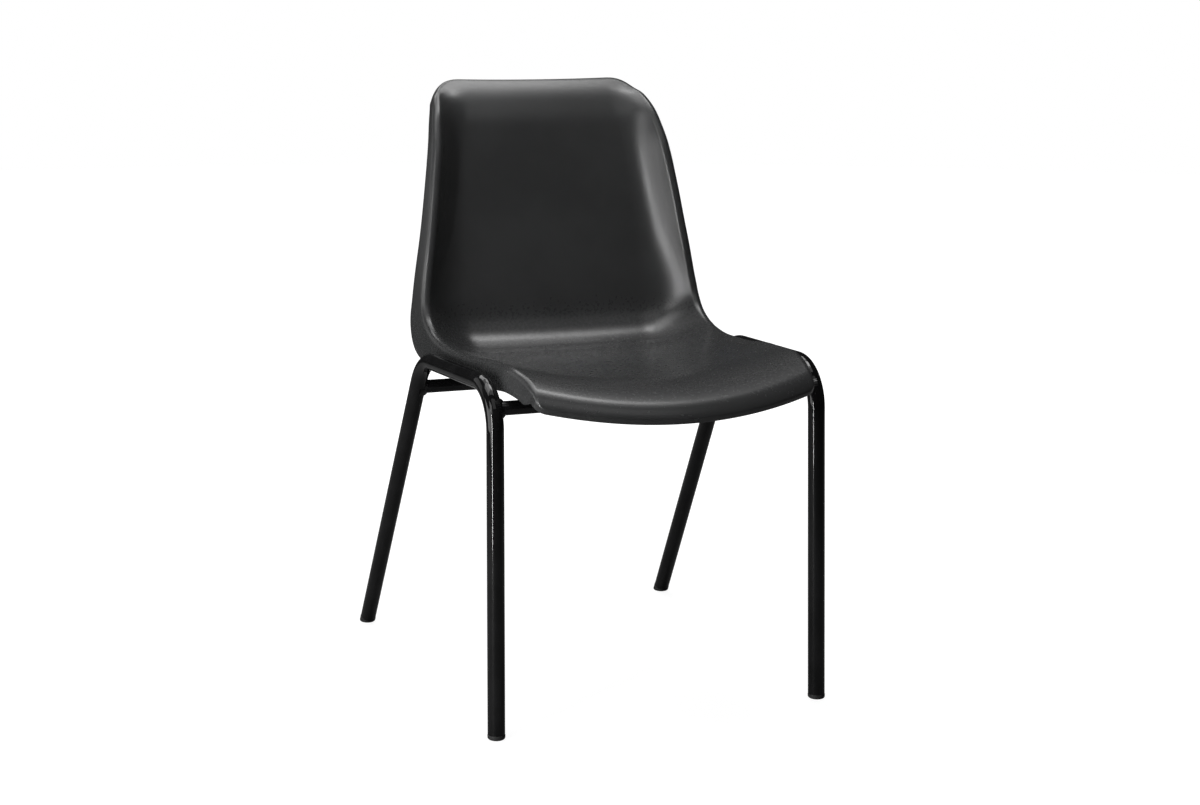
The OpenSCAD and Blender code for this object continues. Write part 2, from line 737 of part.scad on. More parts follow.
module rear_right_foot() {
    foot(1, rear_foot_u, rear_rake, rear_foot_h);
}

shell();
left_side_tube();
right_side_tube();
front_crossbar();
rear_crossbar();
front_left_weld();
front_right_weld();
rear_left_weld();
rear_right_weld();
front_left_tab();
front_right_tab();
rear_left_tab();
rear_right_tab();
threaded_inserts();
screws();
washers();
front_left_foot();
front_right_foot();
rear_left_foot();
rear_right_foot();
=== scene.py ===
import math

import bmesh
import bpy
import numpy as np
from bpy.props import FloatProperty, FloatVectorProperty, PointerProperty
from bpy.types import Operator, Panel, PropertyGroup
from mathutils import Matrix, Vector
from mathutils.bvhtree import BVHTree


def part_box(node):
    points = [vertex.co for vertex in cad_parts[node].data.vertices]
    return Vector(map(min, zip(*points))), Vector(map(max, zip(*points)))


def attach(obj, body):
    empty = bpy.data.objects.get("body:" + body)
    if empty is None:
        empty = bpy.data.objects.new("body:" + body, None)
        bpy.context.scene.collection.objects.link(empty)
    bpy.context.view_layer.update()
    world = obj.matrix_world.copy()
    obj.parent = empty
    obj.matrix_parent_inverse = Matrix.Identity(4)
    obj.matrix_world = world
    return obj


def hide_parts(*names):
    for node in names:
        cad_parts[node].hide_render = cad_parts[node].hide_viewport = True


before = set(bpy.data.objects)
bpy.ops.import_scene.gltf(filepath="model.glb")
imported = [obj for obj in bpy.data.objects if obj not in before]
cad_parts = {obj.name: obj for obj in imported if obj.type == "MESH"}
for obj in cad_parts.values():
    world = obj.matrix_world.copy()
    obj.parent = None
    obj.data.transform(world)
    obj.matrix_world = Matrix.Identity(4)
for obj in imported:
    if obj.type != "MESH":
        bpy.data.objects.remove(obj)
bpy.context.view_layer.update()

bl_info = {
    "name": "Choir Chair",
    "version": (1, 0, 0),
    "blender": (4, 5, 0),
    "location": "View3D > Sidebar > Choir Chair",
    "description": "Builds a moulded shell chair on a bent-tube frame, with its finishes and studio",
    "category": "Object",
}

BODY = "root"

# Place of the bend between back and seat from the chair's middle, as a share of the seat line
HIP_SHARE = 0.3
# Shares of the line between which the way that the wings rise turns from back to seat
RIB_TURN = (0.255, 0.69)
# Shares of the line over which the bows of the top and front edges fade out, and over which the
# back's hollow sets in
BOW_FADE, HOLLOW_FADE = (0.15, 0.3), 0.25
# The shell's form along its centre line, from the top of the back to the front of the seat.
# Rows are [share of the line, share of the size].
WIDTHS = [[0, 0.763], [0.1, 0.825], [0.25, 0.915], [0.4, 1.003], [0.5, 1.014], [0.56, 1.014],
          [0.65, 1.005], [0.75, 0.992], [0.85, 0.983], [0.93, 0.976], [1, 0.946], [1.06, 0.958]]
WINGS = [[0, 0], [0.02, 0.02], [0.04, 0.22], [0.08, 0.57], [0.13, 0.86], [0.2, 0.92], [0.3, 0.89],
         [0.38, 0.84], [0.45, 1], [0.5, 0.96], [0.56, 0.62], [0.62, 0.43], [0.7, 0.385],
         [0.8, 0.335], [0.88, 0.1], [0.94, 0], [1, 0]]
DISHES = [[0, 0.45], [0.2, 0.46], [0.3, 0.54], [0.45, 0.66], [0.56, 0.82], [0.7, 1], [1, 1]]
FLANKS = [[0, 0.52], [0.05, 0.52], [0.13, 0.73], [0.235, 0.95], [0.32, 1.16], [0.38, 1.37],
          [0.41, 1.58], [0.44, 2], [0.47, 2.2], [0.5, 2], [0.53, 1.68], [0.56, 1.4],
          [0.6, 1.09], [0.65, 0.87], [0.88, 1.255], [0.94, 1.16], [1, 1.06]]
# Outward tilt of the flanks in degrees by share of the line, and that of the top edge's
TILTS = [[0, 6], [0.2, 7], [0.44, 7], [0.5, 6], [0.65, 4], [1, 1.2]]
TOP_TILT = 10
# Mesh rows as shares of the line, then as shares of the front corners' radius from the end
LINE_ROWS = [0, 0.003, 0.01, 0.021, 0.036, 0.054, 0.078, 0.11, 0.15, 0.2, 0.26, 0.32, 0.36, 0.395,
             0.425, 0.45, 0.475, 0.5, 0.525, 0.555, 0.59, 0.64, 0.71, 0.78, 0.85, 0.9, 0.935, 0.96,
             0.98, 1]
CORNER_ROWS = [1, 0.6, 0.3, 0.1, 0.02, 0]
# Step for the face's normals, as a share of the line
PROBE = 0.0008
# Mesh rows per interval, mesh columns across, and steps round the rolled edge and round each
# corner of the wall's free edge
ROW_SPLIT, SHELL_COLS, ROLL_STEPS, RIM_STEPS = 4, 72, 12, 4
# Places down the flank and up again inside it, as shares of its depth
FLANK_STEPS = (0.3, 0.65, 1)
# The rail's two corners, as shares of the seat line in front of the hip
RAIL_CORNERS = (1.01, 0.2546)
# Facets round tubes, crossbars and plugs, steps in each bend, and points along a straight leg
ROUND, BEND_STEPS, LEG_POINTS = 64, 40, 10
# Points per bend of the centre line that distances are measured to, and rounds of that search
DENSE_STEPS, SADDLE_ROUNDS = 96, 12
SIDES = ((-1, "left"), (1, "right"))
BARS = ("front", "rear")
X, Y, Z = np.eye(3)


def number(name, about, default, **kind):
    return FloatProperty(name=name, description=about, default=default, **kind)


def length(name, about, default):
    return number(name, about, default, unit="LENGTH", precision=4)


def angle(name, about, default):
    return number(name, about, math.radians(default), subtype="ANGLE", precision=4)


def colour(name, about, default):
    return FloatVectorProperty(name=name, description=about, default=default,
                               size=3, min=0, max=1, subtype="COLOR")


def share(name, about, default):
    return number(name, about, default, min=0, max=1, subtype="FACTOR")


def power(name, about, default):
    return number(name, about, default, min=0, unit="POWER")


class ChairShellSizes(PropertyGroup):
    """Sizes of the moulded shell."""

    seat_h: length("Seat height", "Height of the seat's middle above the floor", 0.434)
    half_w: length("Half width", "Half width at the widest, to the start of the rolled edge", 0.193)
    back_lean: angle("Back lean", "Lean of the back from upright", 11)
    seat_fall: angle("Seat fall", "Fall of the seat towards the back", 2.8)
    back_line: length("Back line", "From where it would meet the seat line to the top curl", 0.311)
    seat_line: length("Seat line", "From where it would meet the back line to the front fall", 0.348)
    lumbar_r: length("Lumbar radius", "Bend between seat and back", 0.062)
    curl_r: length("Curl radius", "Backward curl at the top of the back", 0.120)
    curl_angle: angle("Curl angle", "Angle of the backward curl", 34)
    fall_r: length("Front fall radius", "Radius of the seat's front fall", 0.150)
    fall_angle: angle("Front fall angle", "Angle of the seat's front fall", 30.6)
    nose_r: length("Nose radius", "Radius of the seat's front below the fall", 0.035)
    nose_angle: angle("Nose angle", "Angle that the front turns down through below the fall", 39.8)
    wing_h: length("Wing height", "Height of the side wings above the middle of the back", 0.037)
    dish_w: length("Dish width", "Width over which the sides rise to the ridge", 0.100)
    hollow: length("Back hollow", "Hollow of the back across its width", 0.005)
    top_corner_r: length("Top corner radius", "Radius of the two top corners", 0.034)
    front_corner_r: length("Front corner radius", "Radius of the two front corners", 0.008)
    top_bow: length("Top bow", "Rise of the top edge's middle above its corners", -0.0035)
    front_bow: length("Front bow", "Reach of the front edge at its middle", 0.0377)
    bow_slope: number("Bow slope", "Share of the fall's angle by which that reach slopes down", 1.03)
    wall: length("Wall", "Thickness of the moulded wall", 0.004)
    roll_r: length("Roll radius", "Outer radius of the rolled side and top edge", 0.008)
    lip_r: length("Lip radius", "Outer radius of the rolled front edge", 0.0051)
    lip_turn: angle("Lip turn", "Angle that the front's rolled edge turns through", 54)
    lip_taper: length("Lip taper", "Length over which the sides' rolled edge thins to the front's", 0.030)
    flank_d: length("Flank depth", "Depth of the turned-down flank beside the seat", 0.020)
    lip_d: length("Lip depth", "Depth of the turned-down front edge below its roll", 0.0056)
    rim_round: length("Rim rounding", "Rounding of the wall's free edge", 0.0013)


class ChairFrameSizes(PropertyGroup):
    """Sizes of the tube frame and what is fixed to it."""

    tube_d: length("Tube diameter", "Outer diameter of the side tubes", 0.022)
    tube_wall: length("Tube wall", "Wall of the side tubes", 0.0015)
    gap: length("Shell gap", "Gap between the shell's sides and the rails", 0.0144)
    toe_out: angle("Toe out", "Angle by which each side frame opens to the rear", 1.5)
    lean_in: angle("Lean in", "Angle by which each side frame leans in towards the top", 0.7)
    front_rake: angle("Front rake", "Lean of the front legs to the rear", 2.3)
    rear_rake: angle("Rear rake", "Rake of the rear legs from upright", 29.75)
    rail_rise: length("Rail rise", "Height of the rail's front corner above the seat's middle", 0.0097)
    rail_fall: length("Rail fall", "Fall of the rail to its rear corner", 0.0081)
    front_bend_r: length("Front bend", "Centre-line radius of the front bend", 0.056)
    rear_bend_r: length("Rear bend", "Centre-line radius of the rear bend", 0.069)
    bar_d: length("Crossbar diameter", "Outer diameter of the crossbars", 0.018)
    front_bar_drop: length("Front bar drop", "Depth of the front crossbar below the seat's middle", 0.019)
    rear_bar_drop: length("Rear bar drop", "Depth of the rear crossbar below the seat's middle", 0.041)
    weld: length("Weld size", "Leg length of the weld beads", 0.0034)
    tab_w: length("Tab width", "Width of the screw tabs", 0.026)
    tab_t: length("Tab thickness", "Thickness of the screw tabs", 0.003)
    tab_reach: length("Tab reach", "Distance of the screws from the crossbar's centre line", 0.021)
    front_tab_rise: length("Front tab rise", "Height of the front tabs' top above the bar's centre", 0.006)
    rear_tab_rise: length("Rear tab rise", "Height of the rear tabs' top above the bar's centre", 0.007)
    tab_hole_d: length("Tab hole", "Diameter of the hole in the tabs", 0.0066)
    screw_span: length("Screw span", "Distance between the left and right screws", 0.190)
    boss_d: length("Boss diameter", "Outer diameter of the moulded screw bosses", 0.018)
    insert_d: length("Insert bore", "Bore of the bosses for the threaded inserts", 0.008)
    insert_l: length("Insert depth", "Depth of the bosses' bores", 0.0095)
    foot_d: length("Foot diameter", "Outer diameter of the foot plugs' heads", 0.0226)
    front_foot_h: length("Front foot height", "Height of the front plugs' heads along the leg", 0.006)
    rear_foot_h: length("Rear foot height", "Height of the rear plugs' heads along the leg", 0.010)
    foot_shank_l: length("Plug shank", "Length of the plugs' ribbed shanks inside the tubes", 0.020)
    foot_round: length("Foot rounding", "Rounding of the plugs' lower edge", 0.0028)


class ChairFinishes(PropertyGroup):
    """Colours and textures of the chair's materials."""

    shell_colour: colour("Shell grey", "Colour of the moulded plastic", (0.031, 0.0315, 0.032))
    shell_roughness: share("Shell roughness", "Roughness of the moulded plastic", 0.28)
    grain_depth: length("Grain depth", "Depth of the shell's moulded grain", 0.00012)
    paint_colour: colour("Paint black", "Colour of the frame's powder coat", (0.004, 0.004, 0.0042))
    paint_roughness: share("Paint roughness", "Roughness of the powder coat", 0.055)
    foot_colour: colour("Foot black", "Colour of the foot plugs", (0.012, 0.012, 0.012))
    foot_roughness: share("Foot roughness", "Roughness of the foot plugs", 0.42)
    zinc_colour: colour("Zinc", "Colour of the screws and washers", (0.62, 0.62, 0.60))
    brass_colour: colour("Brass", "Colour of the threaded inserts", (0.72, 0.52, 0.24))


# Studio lights: name, place, point aimed at, width and height
LIGHTS = (
    ("top", (0, 0.1, 2.4), (0, 0.1, 0.5), 1.6, 1.6),
    ("top_front", (0, -1.6, 2.4), (0, 0, 0.5), 2.0, 1.0),
    ("left_low", (-2.2, 0.1, 0.6), (0, 0, 0.45), 1.2, 1.0),
    ("left_front_high", (-1.9, -1.3, 1.9), (0, 0, 0.6), 0.9, 0.9),
    ("left_back", (-1.8, 1.6, 1.3), (0, 0, 0.5), 1.2, 1.5),
    ("low_strip", (-1.25, -0.87, 0.45), (-0.2, -0.3, 0.35), 0.04, 0.9),
    ("over_left", (-0.55, 0.0, 2.3), (0, 0.1, 0.6), 0.8, 1.6),
    ("over_back", (-0.25, 1.1, 2.0), (0, 0.1, 0.5), 0.9, 0.6),
    ("over_spot", (0.35, 0.75, 2.1), (0.14, 0.1, 0.45), 0.45, 0.6),
    ("over_top", (0.45, 0.1, 2.25), (0, 0.2, 0.75), 0.5, 0.6),
    ("left_strip", (-2.0, -0.72, 0.7), (0.15, 0.1, 0.6), 0.35, 1.2),
    ("left_tall", (-1.95, -1.0, 0.75), (0.1, 0.1, 0.55), 0.45, 1.4),
    ("back_fill", (0.3, 2.6, 0.9), (0, 0.2, 0.5), 2.0, 1.2),
    ("right_fill", (2.3, 0.7, 0.45), (0, 0.15, 0.4), 1.2, 0.7),
)
# The camera's place from the chair's own middle, and its turns in degrees
CAMERA_AT, CAMERA_TURN = (-1.0320, -2.5118, 0.8975), (78.87, 0, -20)
# The floor's radius and facets, and the distances over which its glow reaches full white
FLOOR_R, FLOOR_FACETS, GLOW_FADE = 9.0, 96, (0.5, 1.6)


class ChairStudio(PropertyGroup):
    """Light, floor and camera."""

    floor_colour: colour("Floor", "Colour of the paper as it throws light back", (0.15, 0.15, 0.15))
    floor_glow: number("Floor glow", "White the camera sees in the paper under the chair", 0.915, min=0)
    far_glow: number("Far glow", "White the camera sees in the paper round the chair", 1.1, min=0)
    room_light: number("Room light", "Brightness of the room round the chair", 0.02, min=0)
    top: power("Top", "Power of the soft box overhead", 11)
    top_front: power("Top front", "Power of the soft box over the front", 5)
    left_low: power("Left low", "Power of the low soft box on the left", 13)
    left_front_high: power("Left front high", "Power of the high soft box at the front left", 8)
    left_back: power("Left back", "Power of the soft box at the back left", 3)
    low_strip: power("Low strip", "Power of the narrow strip beside the legs", 10)
    over_left: power("Over left", "Power of the soft box over the left edge", 11)
    over_back: power("Over back", "Power of the soft box over the back", 6)
    over_spot: power("Over spot", "Power of the small box over the right rear", 3)
    over_top: power("Over top", "Power of the small box over the right", 7)
    left_strip: power("Left strip", "Power of the upright strip on the left", 5)
    left_tall: power("Left tall", "Power of the tall box at the front left", 3)
    back_fill: power("Back fill", "Power of the fill behind the chair", 45)
    right_fill: power("Right fill", "Power of the low fill on the right", 16)
    lens: number("Lens", "Focal length on a 36 mm wide sensor", 60.454, min=1, unit="CAMERA")
    shift: number("Shift", "Sideways shift of the lens", 0.0796)


# ---- Smooth form of the shell -------------------------------------------------------------


def ease(t):
    c = np.clip(t, 0.0, 1.0)
    return c * c * (3 - 2 * c)


def mix(a, b, t):
    return a + (b - a) * t


def curve(rows, u):
    """A smooth curve through a table of [place share, value share] rows."""
    table = np.array(rows, float)
    x, y = table[:, 0], table[:, 1]
    slope = np.zeros(len(x))
    slope[1:-1] = (y[2:] - y[:-2]) / (x[2:] - x[:-2])
    u = np.clip(u, x[0], x[-1])
    i = np.clip(np.searchsorted(x, u, side="left") - 1, 0, len(x) - 2)
    w = x[i + 1] - x[i]
    t = (u - x[i]) / w
    return (y[i] * (1 + 2 * t) * (1 - t) ** 2 + slope[i] * w * t * (1 - t) ** 2
            + y[i + 1] * t * t * (3 - 2 * t) + slope[i + 1] * w * t * t * (t - 1))


def along(h):
    return np.array([-math.sin(h), -math.cos(h)])


def unit_rows(v):
    return v / np.linalg.norm(v, axis=-1, keepdims=True)


def round_turn(n):
    """n angles evenly round a circle."""
    return np.arange(n) * 2 * math.pi / n


class ShellForm:
    """The shell's upper face as a function of the place along and across it, and its rolled edge."""

    def __init__(self, size):
        self.size = size
        self.back, self.seat = size.back_lean, math.pi / 2 + size.seat_fall
        self.top, self.fall = self.back + size.curl_angle, self.seat - size.fall_angle
        self.nose = self.fall - size.nose_angle
        turn = self.seat - self.back
        tangent = size.lumbar_r * math.tan(turn / 2)
        self.back_at = size.curl_r * size.curl_angle
        self.lumbar_at = self.back_at + size.back_line - tangent
        self.seat_at = self.lumbar_at + size.lumbar_r * turn
        self.fall_at = self.seat_at + size.seat_line - tangent
        self.line = self.fall_at + size.fall_r * size.fall_angle
        self.whole = self.line + size.nose_r * size.nose_angle
        self.hip = np.array([size.seat_line * HIP_SHARE,
                             size.seat_h - size.seat_line / 2 * math.sin(size.seat_fall)])
        self.lumbar_start = self.hip - tangent * along(self.back)
        self.back_start = self.hip - size.back_line * along(self.back)
        self.top_start = self.back_start - self.arc(self.top, self.back, size.curl_r)
        self.seat_start = self.hip + tangent * along(self.seat)
        self.fall_start = self.hip + size.seat_line * along(self.seat)
        self.nose_start = self.fall_start + self.arc(self.seat, self.fall, size.fall_r)

    def arc(self, h0, h1, r):
        """The way along a bend of radius r from heading h0 to headings h1."""
        h1 = np.asarray(h1, float)
        k = np.where(h1 > h0, r, -r)
        return np.stack([k * (np.cos(h1) - np.cos(h0)), k * (np.sin(h0) - np.sin(h1))], -1)

    def heading(self, t):
        places = [0, self.back_at, self.lumbar_at, self.seat_at, self.fall_at, self.line, self.whole]
        turns = [self.top, self.back, self.back, self.seat, self.seat, self.fall, self.nose]
        return np.interp(t, places, turns)

    def centre(self, t):
        """Points of the centre line, (y, z), at distances t along it."""
        t = np.asarray(t, float)
        h = self.heading(t)
        spots = np.zeros(t.shape + (2,))
        size = self.size
        curl = t < self.back_at
        back = (t >= self.back_at) & (t < self.lumbar_at)
        lumbar = (t >= self.lumbar_at) & (t < self.seat_at)
        seat = (t >= self.seat_at) & (t < self.fall_at)
        fall = (t >= self.fall_at) & (t < self.line)
        nose = t >= self.line
        spots[curl] = (self.top_start + self.arc(self.top, h[curl], size.curl_r)
                       + np.minimum(t[curl], 0)[..., None] * along(self.top))
        spots[back] = self.back_start + (t[back] - self.back_at)[..., None] * along(self.back)
        spots[lumbar] = self.lumbar_start + self.arc(self.back, h[lumbar], size.lumbar_r)
        spots[seat] = self.seat_start + (t[seat] - self.seat_at)[..., None] * along(self.seat)
        spots[fall] = self.fall_start + self.arc(self.seat, h[fall], size.fall_r)
        spots[nose] = self.nose_start + self.arc(self.fall, h[nose], size.nose_r)
        return spots

    def rib_heading(self, t):
        """The direction in which wings and ridges rise."""
        turned = ease((t / self.line - RIB_TURN[0]) / (RIB_TURN[1] - RIB_TURN[0]))
        slow = mix(self.back, self.seat, turned)
        return np.where((t < self.back_at) | (t > self.fall_at), self.heading(t), slow)

    def corner_loss(self, e, r):
        """What a rounded corner takes off the half width at distances e from its end."""
        return np.where(e >= r, 0, r - np.sqrt(np.maximum(0, r * r - (r - e) ** 2)))

    def half(self, t):
        size = self.size
        return (size.half_w * curve(WIDTHS, t / self.line) - self.corner_loss(t, size.top_corner_r)
                - self.corner_loss(self.whole - t, size.front_corner_r))

    def wing(self, t):
        return self.size.wing_h * curve(WINGS, t / self.line)

    def dish(self, t):
        return self.size.dish_w * curve(DISHES, t / self.line)

    def point(self, t, x):
        """Points of the upper face at places t along the centre line and x across."""
        size = self.size
        t, x = np.broadcast_arrays(np.asarray(t, float), np.asarray(x, float))
        u = t / self.line
        across = (x / size.half_w / curve(WIDTHS, u)) ** 2
        bowed = t + size.top_bow * across * ease(1 - u / BOW_FADE[0])
        pull = size.front_bow * across * ease(1 - (1 - u) / BOW_FADE[1])
        rise = np.clip(1 - np.maximum(0, self.half(t) - np.abs(x)) / self.dish(t), 0, 1)
        h = self.wing(t) * rise * rise + size.hollow * (x / size.half_w) ** 2 * ease(u / HOLLOW_FADE)
        g = self.rib_heading(bowed)
        spot = self.centre(bowed) - pull[..., None] * along(self.seat - size.bow_slope * size.fall_angle)
        return np.stack([x, spot[..., 0] - h * np.cos(g), spot[..., 1] + h * np.sin(g)], -1)

    def out(self, t, x):
        """Unit normals of the upper face."""
        d = self.line * PROBE
        t, x = np.broadcast_arrays(np.asarray(t, float), np.asarray(x, float))
        ds, dx = np.where(t < self.line / 2, d, -d), np.where(x > 0, -d, d)
        here = self.point(t, x)
        return unit_rows(np.cross((self.point(t + ds, x) - here) / ds[..., None],
                                  (self.point(t, x + dx) - here) / dx[..., None]))

    def rows(self):
        """Places of the mesh rows along the centre line."""
        corner = self.size.front_corner_r
        places = [q * self.line for q in LINE_ROWS] + [(self.line + self.whole - corner) / 2]
        places += [self.whole - q * corner for q in CORNER_ROWS]
        parts = [k / ROW_SPLIT for k in range(ROW_SPLIT)]
        split = [mix(a, b, part) for a, b in zip(places, places[1:]) for part in parts]
        return np.array(split + [places[-1]])

    def grid(self, rows, cols):
        """Points and normals of the upper face, with columns closer together near the sides."""
        t = rows[:, None]
        x = self.half(t) * np.sin(math.pi / 2 * (2 * np.arange(cols + 1) / cols - 1))[None]
        t = np.broadcast_to(t, x.shape)
        return self.point(t, x), self.out(t, x)

    def edge(self, rows, cols, grid, normals):
        """Rings of points from the upper face's rim over the roll, down the flank, round the
        free edge and back up inside the wall."""
        size = self.size
        last = len(rows) - 1
        rim = ([(0, j) for j in range(cols + 1)] + [(i, cols) for i in range(1, last + 1)]
               + [(last, j) for j in range(cols - 1, -1, -1)] + [(i, 0) for i in range(last - 1, 0, -1)])
        ri, rj = np.array(rim).T
        start, face = grid[ri, rj], normals[ri, rj]
        run = unit_rows(np.roll(start, -1, 0) - np.roll(start, 1, 0))
        up = unit_rows(face - (face * run).sum(1, keepdims=True) * run)
        side = np.cross(up, run)
        t = rows[ri]
        middle = 1 - np.abs(2 * rj / cols - 1)
        slope = np.arctan(2 * self.wing(t) / self.dish(t))
        near = np.clip(1 - (self.whole - t) / size.lip_taper, 0, 1)
        r = mix(size.roll_r, size.lip_r, near)[:, None]
        side_tilt = curve(TILTS, t / self.line)
        tilt = (side_tilt + (90 - math.degrees(size.lip_turn) - side_tilt) * ease(2 * near - 1)
                + (TOP_TILT - side_tilt) * np.where(ri == 0, ease(middle), 0))
        depth = mix(size.flank_d * curve(FLANKS, t / self.line), size.lip_d, near)[:, None]
        turn = (slope + math.pi / 2 - np.radians(tilt))[:, None]
        hub = start - r * up
        over = np.cos(turn) * up + np.sin(turn) * side
        down = np.cos(turn) * side - np.sin(turn) * up
        e, inner = size.rim_round, r - size.wall
        depth = depth - e
        rings = []
        for m in range(1, ROLL_STEPS + 1):
            a = turn * m / ROLL_STEPS
            rings.append(hub + r * (np.cos(a) * up + np.sin(a) * side))
        for m in FLANK_STEPS:
            rings.append(hub + r * over + m * depth * down)
        for centre_r, first in ((r - e, 0), (inner + e, math.pi / 2)):
            for m in range(1, RIM_STEPS + 1):
                a = first + math.pi / 2 / RIM_STEPS * m
                corner = hub + centre_r * over + depth * down
                rings.append(corner + e * (math.cos(a) * over + math.sin(a) * down))
        for m in (*reversed(FLANK_STEPS[:-1]), 0):
            rings.append(hub + inner * over + m * depth * down)
        for m in range(ROLL_STEPS - 1, 0, -1):
            a = turn * m / ROLL_STEPS
            rings.append(hub + inner * (np.cos(a) * up + np.sin(a) * side))
        return rim, rings


# ---- Lines of the tube frame --------------------------------------------------------------


class FrameForm:
    """The side tubes' centre line in its own plane (u along the depth, v up), and what meets it."""

    def __init__(self, size, shell):
        self.size = size
        form = ShellForm(shell)
        self.tube_r, self.bar_r = size.tube_d / 2, size.bar_d / 2
        front_h = shell.seat_h + size.rail_rise
        rear_h = front_h - size.rail_fall
        self.front_top = np.array([form.hip[0] - shell.seat_line * RAIL_CORNERS[0], front_h])
        self.rear_top = np.array([form.hip[0] - shell.seat_line * RAIL_CORNERS[1], rear_h])
        self.front_foot = self.front_top[0] - front_h * math.tan(size.front_rake)
        self.rear_foot = self.rear_top[0] + rear_h * math.tan(size.rear_rake)
        rail = self.rear_top - self.front_top
        self.rail_angle = math.atan2(rail[1], rail[0])
        self.front_start = math.pi / 2 - size.front_rake
        rear_turn = math.pi / 2 - size.rear_rake + self.rail_angle
        self.front_tangent = size.front_bend_r * math.tan((self.front_start - self.rail_angle) / 2)
        self.rear_tangent = size.rear_bend_r * math.tan(rear_turn / 2)
        self.half_w = (shell.half_w + shell.roll_r + size.gap + self.tube_r
                       + front_h * math.sin(size.lean_in))
        self.front_hub = self.hub(self.front_top, self.front_start, self.front_tangent, size.front_bend_r)
        self.rear_hub = self.hub(self.rear_top, self.rail_angle, self.rear_tangent, size.rear_bend_r)
        self.front_bar_h = shell.seat_h - size.front_bar_drop
        self.rear_bar_h = shell.seat_h - size.rear_bar_drop
        below = self.front_bar_h - self.front_hub[1]
        self.front_bar_u = self.front_hub[0] - math.sqrt(size.front_bend_r ** 2 - below ** 2)
        self.rear_bar_u = self.rear_foot - self.rear_bar_h * math.tan(size.rear_rake)
        x = size.screw_span / 2
        self.screws = {
            "front": (x, self.front_bar_u + size.tab_reach, self.front_bar_h + size.front_tab_rise),
            "rear": (x, self.rear_bar_u - size.tab_reach, self.rear_bar_h + size.rear_tab_rise),
        }
        self.bars = {"front": (self.front_bar_u, self.front_bar_h),
                     "rear": (self.rear_bar_u, self.rear_bar_h)}
        low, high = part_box("front_crossbar")
        self.shift = (low[1] + high[1]) / 2 - self.front_bar_u
        self.dense = self.path(0, 0, DENSE_STEPS)

    def hub(self, corner, start, tangent, r):
        """Centre of the bend at a corner of the line that comes in at the heading start."""
        heading = np.array([math.cos(start), math.sin(start)])
        return corner - tangent * heading + r * np.array([math.sin(start), -math.cos(start)])

    def path(self, front_cut, rear_cut, steps):
        """Points of the centre line from the front foot over the rail to the rear foot."""
        size = self.size
        leg = np.array([math.cos(self.front_start), math.sin(self.front_start)])
        foot = np.array([self.front_foot, 0.0])
        first = self.front_top - self.front_tangent * leg
        spots = [mix(foot + front_cut * leg, first, t) for t in np.linspace(0, 1, LEG_POINTS)[:-1]]
        for h in np.linspace(self.front_start, self.rail_angle, steps):
            spots.append(self.front_hub + size.front_bend_r * np.array([-math.sin(h), math.cos(h)]))
        for h in np.linspace(self.rail_angle, size.rear_rake - math.pi / 2, steps):
            spots.append(self.rear_hub + size.rear_bend_r * np.array([-math.sin(h), math.cos(h)]))
        leg = np.array([-math.sin(size.rear_rake), math.cos(size.rear_rake)])
        foot = np.array([self.rear_foot, 0.0])
        spots += [mix(spots[-1], foot + rear_cut * leg, t) for t in np.linspace(0, 1, LEG_POINTS)[1:]]
        return np.array(spots)

    def place(self, side, x, u, v):
        """A point of a side frame's plane in the chair's frame; side is -1 on the left."""
        a, b = -side * self.size.toe_out, -side * self.size.lean_in
        x1, y1 = x * np.cos(a) - u * np.sin(a), x * np.sin(a) + u * np.cos(a)
        x2, z2 = x1 * np.cos(b) + v * np.sin(b), -x1 * np.sin(b) + v * np.cos(b)
        return np.stack(np.broadcast_arrays(side * self.half_w + x2, y1 + self.shift, z2), -1)

    def unplace(self, p):
        """The right side frame's own coordinates of points in the chair's frame, before the shift."""
        a, b = -self.size.toe_out, -self.size.lean_in
        x2, y1, z2 = p[..., 0] - self.half_w, p[..., 1], p[..., 2]
        x1, v = x2 * np.cos(b) - z2 * np.sin(b), x2 * np.sin(b) + z2 * np.cos(b)
        return x1 * np.cos(a) + y1 * np.sin(a), -x1 * np.sin(a) + y1 * np.cos(a), v

    def off_line(self, u, v):
        """Distance in the plane from the side tube's centre line."""
        q = np.stack([u, v], -1)[..., None, :]
        a, b = self.dense[:-1], self.dense[1:]
        ab = b - a
        t = np.clip(((q - a) * ab).sum(-1) / np.maximum((ab * ab).sum(-1), 1e-12), 0, 1)
        return np.linalg.norm(q - a - t[..., None] * ab, axis=-1).min(-1)

    def saddle(self, bar, around, r):
        """How far out a crossbar's fibre at an angle and radius runs before it meets the side tube."""
        y, z = self.bars[bar]
        r = np.broadcast_to(r, around.shape)
        x = np.full(around.shape, self.half_w - self.tube_r)
        for _ in range(SADDLE_ROUNDS):
            w, u, v = self.unplace(np.stack([x, y + r * np.sin(around), z + r * np.cos(around)], -1))
            off = self.off_line(u, v)
            x = x + (-np.sqrt(np.maximum(0, self.tube_r ** 2 - off ** 2)) - w)
        return x

    def round_bar(self, bar, x, r, around):
        """Points at angles round a crossbar's middle line, at places x along it and radii r."""
        y, z = self.bars[bar]
        return np.stack([x, y + self.shift + r * np.sin(around), z + r * np.cos(around)], -1)

    def bar_half(self, height):
        """Half the width of a crossbar at a height over its middle."""
        return math.sqrt(max(0.0, self.bar_r ** 2 - height ** 2))


# ---- Mesh stock ---------------------------------------------------------------------------


